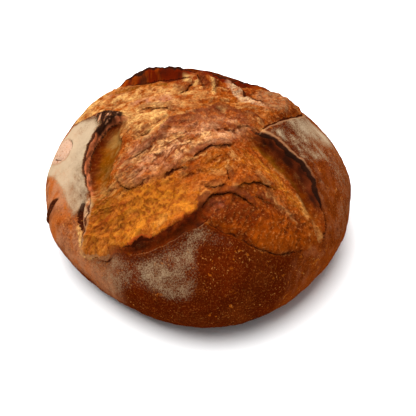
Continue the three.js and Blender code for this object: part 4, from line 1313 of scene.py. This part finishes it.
def crust_material():
    """Baked crust: colour with strands, granules, cracks, specks, blisters and flour, and a fine bump."""
    material = bpy.data.materials.new("baked_crust")
    material.use_nodes = True
    nodes, links = material.node_tree.nodes, material.node_tree.links
    nodes.clear()

    def node(kind, **settings):
        """A new node of a kind, with its settings."""
        made = nodes.new(kind)
        for name, value in settings.items():
            setattr(made, name, value)
        return made

    def plug(socket, value):
        """Sets a socket to a constant, or links another node's output to it."""
        if isinstance(value, (int, float, tuple)):
            socket.default_value = value
        else:
            links.new(value, socket)

    def stored(name, output="Fac"):
        """What the crust stores at each point under a name."""
        return node("ShaderNodeAttribute", attribute_name=name).outputs[output]

    place = node("ShaderNodeTexCoord").outputs["Object"]
    crust_map = stored("crust_map", "Vector")

    def noise(size, detail=2.0, roughness=0.5, at=place):
        """Noise from 0 to 1 whose largest lumps have a size, in metres on the loaf."""
        made = node("ShaderNodeTexNoise")
        plug(made.inputs["Scale"], 1 / size)
        plug(made.inputs["Detail"], detail)
        plug(made.inputs["Roughness"], roughness)
        plug(made.inputs["Vector"], at)
        return made.outputs["Fac"]

    def turned(heading, length, width):
        """The crust map turned to a heading and stretched, so that noise on it has a length and a width."""
        made = node("ShaderNodeMapping", vector_type="TEXTURE")
        plug(made.inputs["Vector"], crust_map)
        plug(made.inputs["Rotation"], (0.0, 0.0, float(np.radians(heading))))
        plug(made.inputs["Scale"], (float(length), float(width), 1.0))
        return made.outputs["Vector"]

    def math(operation, a, b=0.0):
        """A sum, difference, product or size of numbers or outputs."""
        made = node("ShaderNodeMath", operation=operation)
        plug(made.inputs[0], a)
        plug(made.inputs[1], b)
        return made.outputs[0]

    def times(a, b):
        return math("MULTIPLY", a, b)

    def plus(a, b):
        return math("ADD", a, b)

    def minus(a, b):
        return math("SUBTRACT", a, b)

    def between(value, low, high):
        """0 below low, 1 above high, and a smooth S between them."""
        made = node("ShaderNodeMapRange", interpolation_type="SMOOTHSTEP")
        plug(made.inputs["Value"], value)
        plug(made.inputs["From Min"], low)
        plug(made.inputs["From Max"], high)
        return made.outputs["Result"]

    def paint(amount, under, over):
        """One colour mixed over another by an amount."""
        made = node("ShaderNodeMix", data_type="RGBA")
        plug(made.inputs["Factor"], amount)
        plug(made.inputs["A"], under)
        plug(made.inputs["B"], over)
        return made.outputs["Result"]

    def solid(light):
        """A colour in light, as a socket takes it."""
        return (*[float(part) for part in light], 1.0)

    def colour(*values):
        """A colour as an eye reads it, as a socket takes it."""
        return solid(shade(*values))

    def pulled(draw, *turns):
        """A drawing turned and stretched along the way that each part of the crumb tore."""
        left, right, back = [
            times(draw(turned(*turn)), stored(name))
            for name, turn in zip(("pull_left", "pull_right", "pull_back"), turns)
        ]
        return plus(plus(left, right), back)

    flour_amount = stored("flour")
    blister_amount = stored("blistered")
    crumbly = stored("crumbly")
    stringy = stored("stringy")
    surface_colour = stored("baked", "Color")

    def stroke(vector):
        """Soft noise on a stretched map: one strand for each of its lumps."""
        return noise(1.0, 2.0, 0.6, vector)

    def strokes(length, width):
        """Soft strands, a little longer along the right ear and at the back."""
        longer = 1.3 * length
        return pulled(stroke, (32, length, width), (136, longer, width), (8, longer, 1.2 * width))

    # Fine strands of two sizes: painted shade between them, and painted highlights along their edges.
    strand = strokes(7.0, 2.6)
    hair = strokes(3.4, 1.25)
    for drawn, dark, bright in ((strand, 0.42, 0.25), (hair, 0.55, 0.42)):
        strand_shade = times(times(minus(1.0, between(drawn, 0.36, 0.48)), dark), stringy)
        surface_colour = paint(strand_shade, surface_colour, colour(112, 38, 5))
        strand_highlight = times(times(between(drawn, 0.54, 0.68), bright), stringy)
        surface_colour = paint(strand_highlight, surface_colour, colour(194, 114, 52))

    # Granules: the burst walls of the finest gas cells, with painted highlights on them and painted shade
    # between them.
    # Saturated orange patches about 6 mm across, also sunk a little in the bump.
    orange_patches = noise(0.0060, 5.0, 0.68)
    orange_patches = times(times(between(orange_patches, 0.50, 0.60), 0.55), crumbly)
    surface_colour = paint(orange_patches, surface_colour, colour(158, 72, 12))
    granule = noise(0.0018, 3.0, 0.7)
    granule_highlight = times(times(between(granule, 0.53, 0.68), 0.5), crumbly)
    surface_colour = paint(granule_highlight, surface_colour, colour(206, 132, 70))
    granule_shade = minus(1.0, between(granule, 0.32, 0.47))
    surface_colour = paint(times(times(granule_shade, 0.6), crumbly), surface_colour, colour(118, 38, 4))

    # The lines and edges of the tears, each with a ragged border, and some broken up by the strands too.
    # The cracks, the line under the lobe's crest and the deep places are darkened as painted shade.
    fray = times(minus(noise(0.0024, 3.0, 0.7), 0.5), 0.9)
    broken = times(minus(hair, 0.5), 1.4)
    edges = {}
    for name, tint, strength in (
        ("net", RUST, 0.65), ("lobe_dark", BROW_BROWN, 0.7), ("plum", PLUM, 0.5), ("cracks", RUST, 0.75),
        ("lip", LIP_RED, 0.9), ("burnt_and_shade", BURNT, 0.9), ("pale", PALE_EDGE, 0.6), ("painted_shade", CHESTNUT, 0.9),
    ):
        edge = plus(stored(name), fray)
        if name in ("lobe_dark", "plum", "lip"):
            edge = plus(edge, broken)
        edges[name] = between(edge, 0.36, 0.62)
        surface_colour = paint(times(edges[name], strength), surface_colour, solid(tint))

    def crazed(vector):
        """Thin dark lines: where fine stretched noise passes its middle."""
        off_middle = math("ABSOLUTE", minus(noise(1.0, 4.0, 0.68, vector), 0.5))
        return minus(1.0, between(off_middle, 0.0, 0.02))

    craze = pulled(crazed, (34, 20.0, 7.0), (136, 22.0, 6.5), (8, 18.0, 7.0))
    craze = times(craze, stored("crazed"))
    surface_colour = paint(times(craze, 0.45), surface_colour, colour(86, 28, 6))

    # Specks on everything, and on the bare skin pale and dark flecks as well.
    speck = noise(0.0015, 3.0, 0.65)
    surface_colour = paint(times(between(speck, 0.54, 0.7), 0.4), surface_colour, colour(46, 14, 3))
    fleck = noise(0.0013, 2.0, 0.65)
    pale_fleck = times(times(between(fleck, 0.54, 0.68), 0.42), blister_amount)
    dark_fleck = times(times(minus(1.0, between(fleck, 0.32, 0.46)), 0.45), blister_amount)
    surface_colour = paint(pale_fleck, surface_colour, colour(140, 74, 30))
    surface_colour = paint(dark_fleck, surface_colour, colour(36, 10, 2))

    # Blisters: pale ragged islands of two sizes, in patches.
    gather = between(noise(0.022, 2.0, 0.5), 0.42, 0.6)
    large = times(times(between(noise(0.0046, 2.0, 0.55), 0.64, 0.68), gather), blister_amount)
    small = times(between(noise(0.0021, 2.0, 0.6), 0.64, 0.7), plus(0.3, times(gather, 0.7)))
    small = times(small, blister_amount)
    surface_colour = paint(times(large, 0.7), surface_colour, colour(150, 76, 16))
    surface_colour = paint(times(small, 0.85), surface_colour, colour(172, 108, 52))

    # Flour: even where it is thick, and in grains where it is thin.
    grains = noise(0.0010, 2.0, 0.7)
    clouds = noise(0.010, 4.0, 0.62)
    dust = plus(flour_amount, times(minus(clouds, 0.5), 0.8))
    dust = plus(dust, times(minus(grains, 0.5), 1.8))
    dust = times(between(dust, 0.2, 1.1), between(flour_amount, 0.02, 0.2))
    dust = times(dust, minus(1.0, times(edges["painted_shade"], 0.8)))
    flour_colour = paint(between(flour_amount, 0.5, 1.2), colour(140, 114, 84), colour(164, 143, 116))
    surface_colour = paint(times(dust, 0.9), surface_colour, flour_colour)

    # The bump, in metres: what stands up from the surface, less what is sunk into it.
    height = plus(times(speck, 0.0005), times(times(strand, stringy), 0.0010))
    height = plus(height, times(times(hair, stringy), 0.0009))
    height = plus(height, times(times(granule, crumbly), 0.0024))
    height = minus(height, times(orange_patches, 0.0006))
    sunk = plus(times(craze, 0.5), plus(edges["cracks"], edges["painted_shade"]))
    height = minus(height, times(sunk, 0.0008))
    height = plus(height, times(edges["net"], 0.0005))
    height = plus(height, times(plus(large, small), 0.0004))
    bump = node("ShaderNodeBump")
    plug(bump.inputs["Strength"], BUMP_STRENGTH)
    plug(bump.inputs["Distance"], 1.0)
    plug(bump.inputs["Height"], height)

    surface = node("ShaderNodeBsdfPrincipled")
    plug(surface.inputs["Base Color"], surface_colour)
    plug(surface.inputs["Normal"], bump.outputs["Normal"])
    plug(surface.inputs["Roughness"], plus(CRUST_ROUGHNESS, times(dust, FLOUR_ROUGHNESS)))
    plug(surface.inputs["Specular IOR Level"], 0.0)
    gloss = node("ShaderNodeBsdfAnisotropic")
    plug(gloss.inputs["Roughness"], GLAZE_ROUGHNESS)
    plug(gloss.inputs["Color"], colour(255, 214, 160))
    plug(gloss.inputs["Normal"], bump.outputs["Normal"])
    shine = node("ShaderNodeMixShader")
    plug(shine.inputs[0], times(stored("glossy"), GLAZE_SHARE))
    links.new(surface.outputs["BSDF"], shine.inputs[1])
    links.new(gloss.outputs["BSDF"], shine.inputs[2])
    output = node("ShaderNodeOutputMaterial")
    links.new(shine.outputs["Shader"], output.inputs["Surface"])
    return material


loaf.data.materials.append(crust_material())

# ---- The studio ----
# A white paper sweep on the floor, a soft box high at the back left in an even white surround, and a long
# lens that looks down on the loaf from the front.

FLOOR_SIZE = 8.0
FLOOR_WHITE = (0.95, 0.95, 0.95, 1)
FLOOR_ROUGHNESS = 0.9


def plain_floor():
    """A white square, level with the foot of the loaf."""
    half = FLOOR_SIZE / 2
    mesh = bpy.data.meshes.new("floor")
    corners = [(-half, -half, 0), (half, -half, 0), (half, half, 0), (-half, half, 0)]
    mesh.from_pydata(corners, [], [(0, 1, 2, 3)])
    material = bpy.data.materials.new("white_sweep")
    material.use_nodes = True
    surface = material.node_tree.nodes["Principled BSDF"]
    surface.inputs["Base Color"].default_value = FLOOR_WHITE
    surface.inputs["Roughness"].default_value = FLOOR_ROUGHNESS
    surface.inputs["Specular IOR Level"].default_value = 0.0
    mesh.materials.append(material)
    made = bpy.data.objects.new("floor", mesh)
    bpy.context.scene.collection.objects.link(made)
    return made


plain_floor()

KEY_PLACE = Vector((-0.35, 0.32, 1.75))
KEY_AIM = Vector((0, 0, 0.05))
KEY_SIZE = 2.4
KEY_POWER = 100.0
SURROUND_STRENGTH = 0.34


def aimed(name, data, place, way):
    """A light or camera at a place, looking along a way."""
    made = bpy.data.objects.new(name, data)
    made.location = place
    made.rotation_mode = "QUATERNION"
    made.rotation_quaternion = way.to_track_quat("-Z", "Y")
    bpy.context.scene.collection.objects.link(made)
    return made


soft_box = bpy.data.lights.new("key", "AREA")
soft_box.shape = "SQUARE"
soft_box.size = KEY_SIZE
soft_box.energy = KEY_POWER
aimed("key", soft_box, KEY_PLACE, KEY_AIM - KEY_PLACE)

world = bpy.data.worlds.new("studio")
world.use_nodes = True
world.node_tree.nodes["Background"].inputs["Color"].default_value = (1, 1, 1, 1)
world.node_tree.nodes["Background"].inputs["Strength"].default_value = SURROUND_STRENGTH
bpy.context.scene.world = world
bpy.context.scene.view_settings.view_transform = "Standard"

CAMERA_DISTANCE = 1.5
CAMERA_HEIGHT_ANGLE = np.radians(48)
LENS = 162.5
SENSOR_WIDTH = 36.0
AIM = Vector((0.0078, -0.0104, 0.0366))

lens = bpy.data.cameras.new("camera")
lens.lens = LENS
lens.sensor_width = SENSOR_WIDTH
back = Vector((0, -np.cos(CAMERA_HEIGHT_ANGLE), np.sin(CAMERA_HEIGHT_ANGLE)))
bpy.context.scene.camera = aimed("camera", lens, AIM + back * CAMERA_DISTANCE, -back)
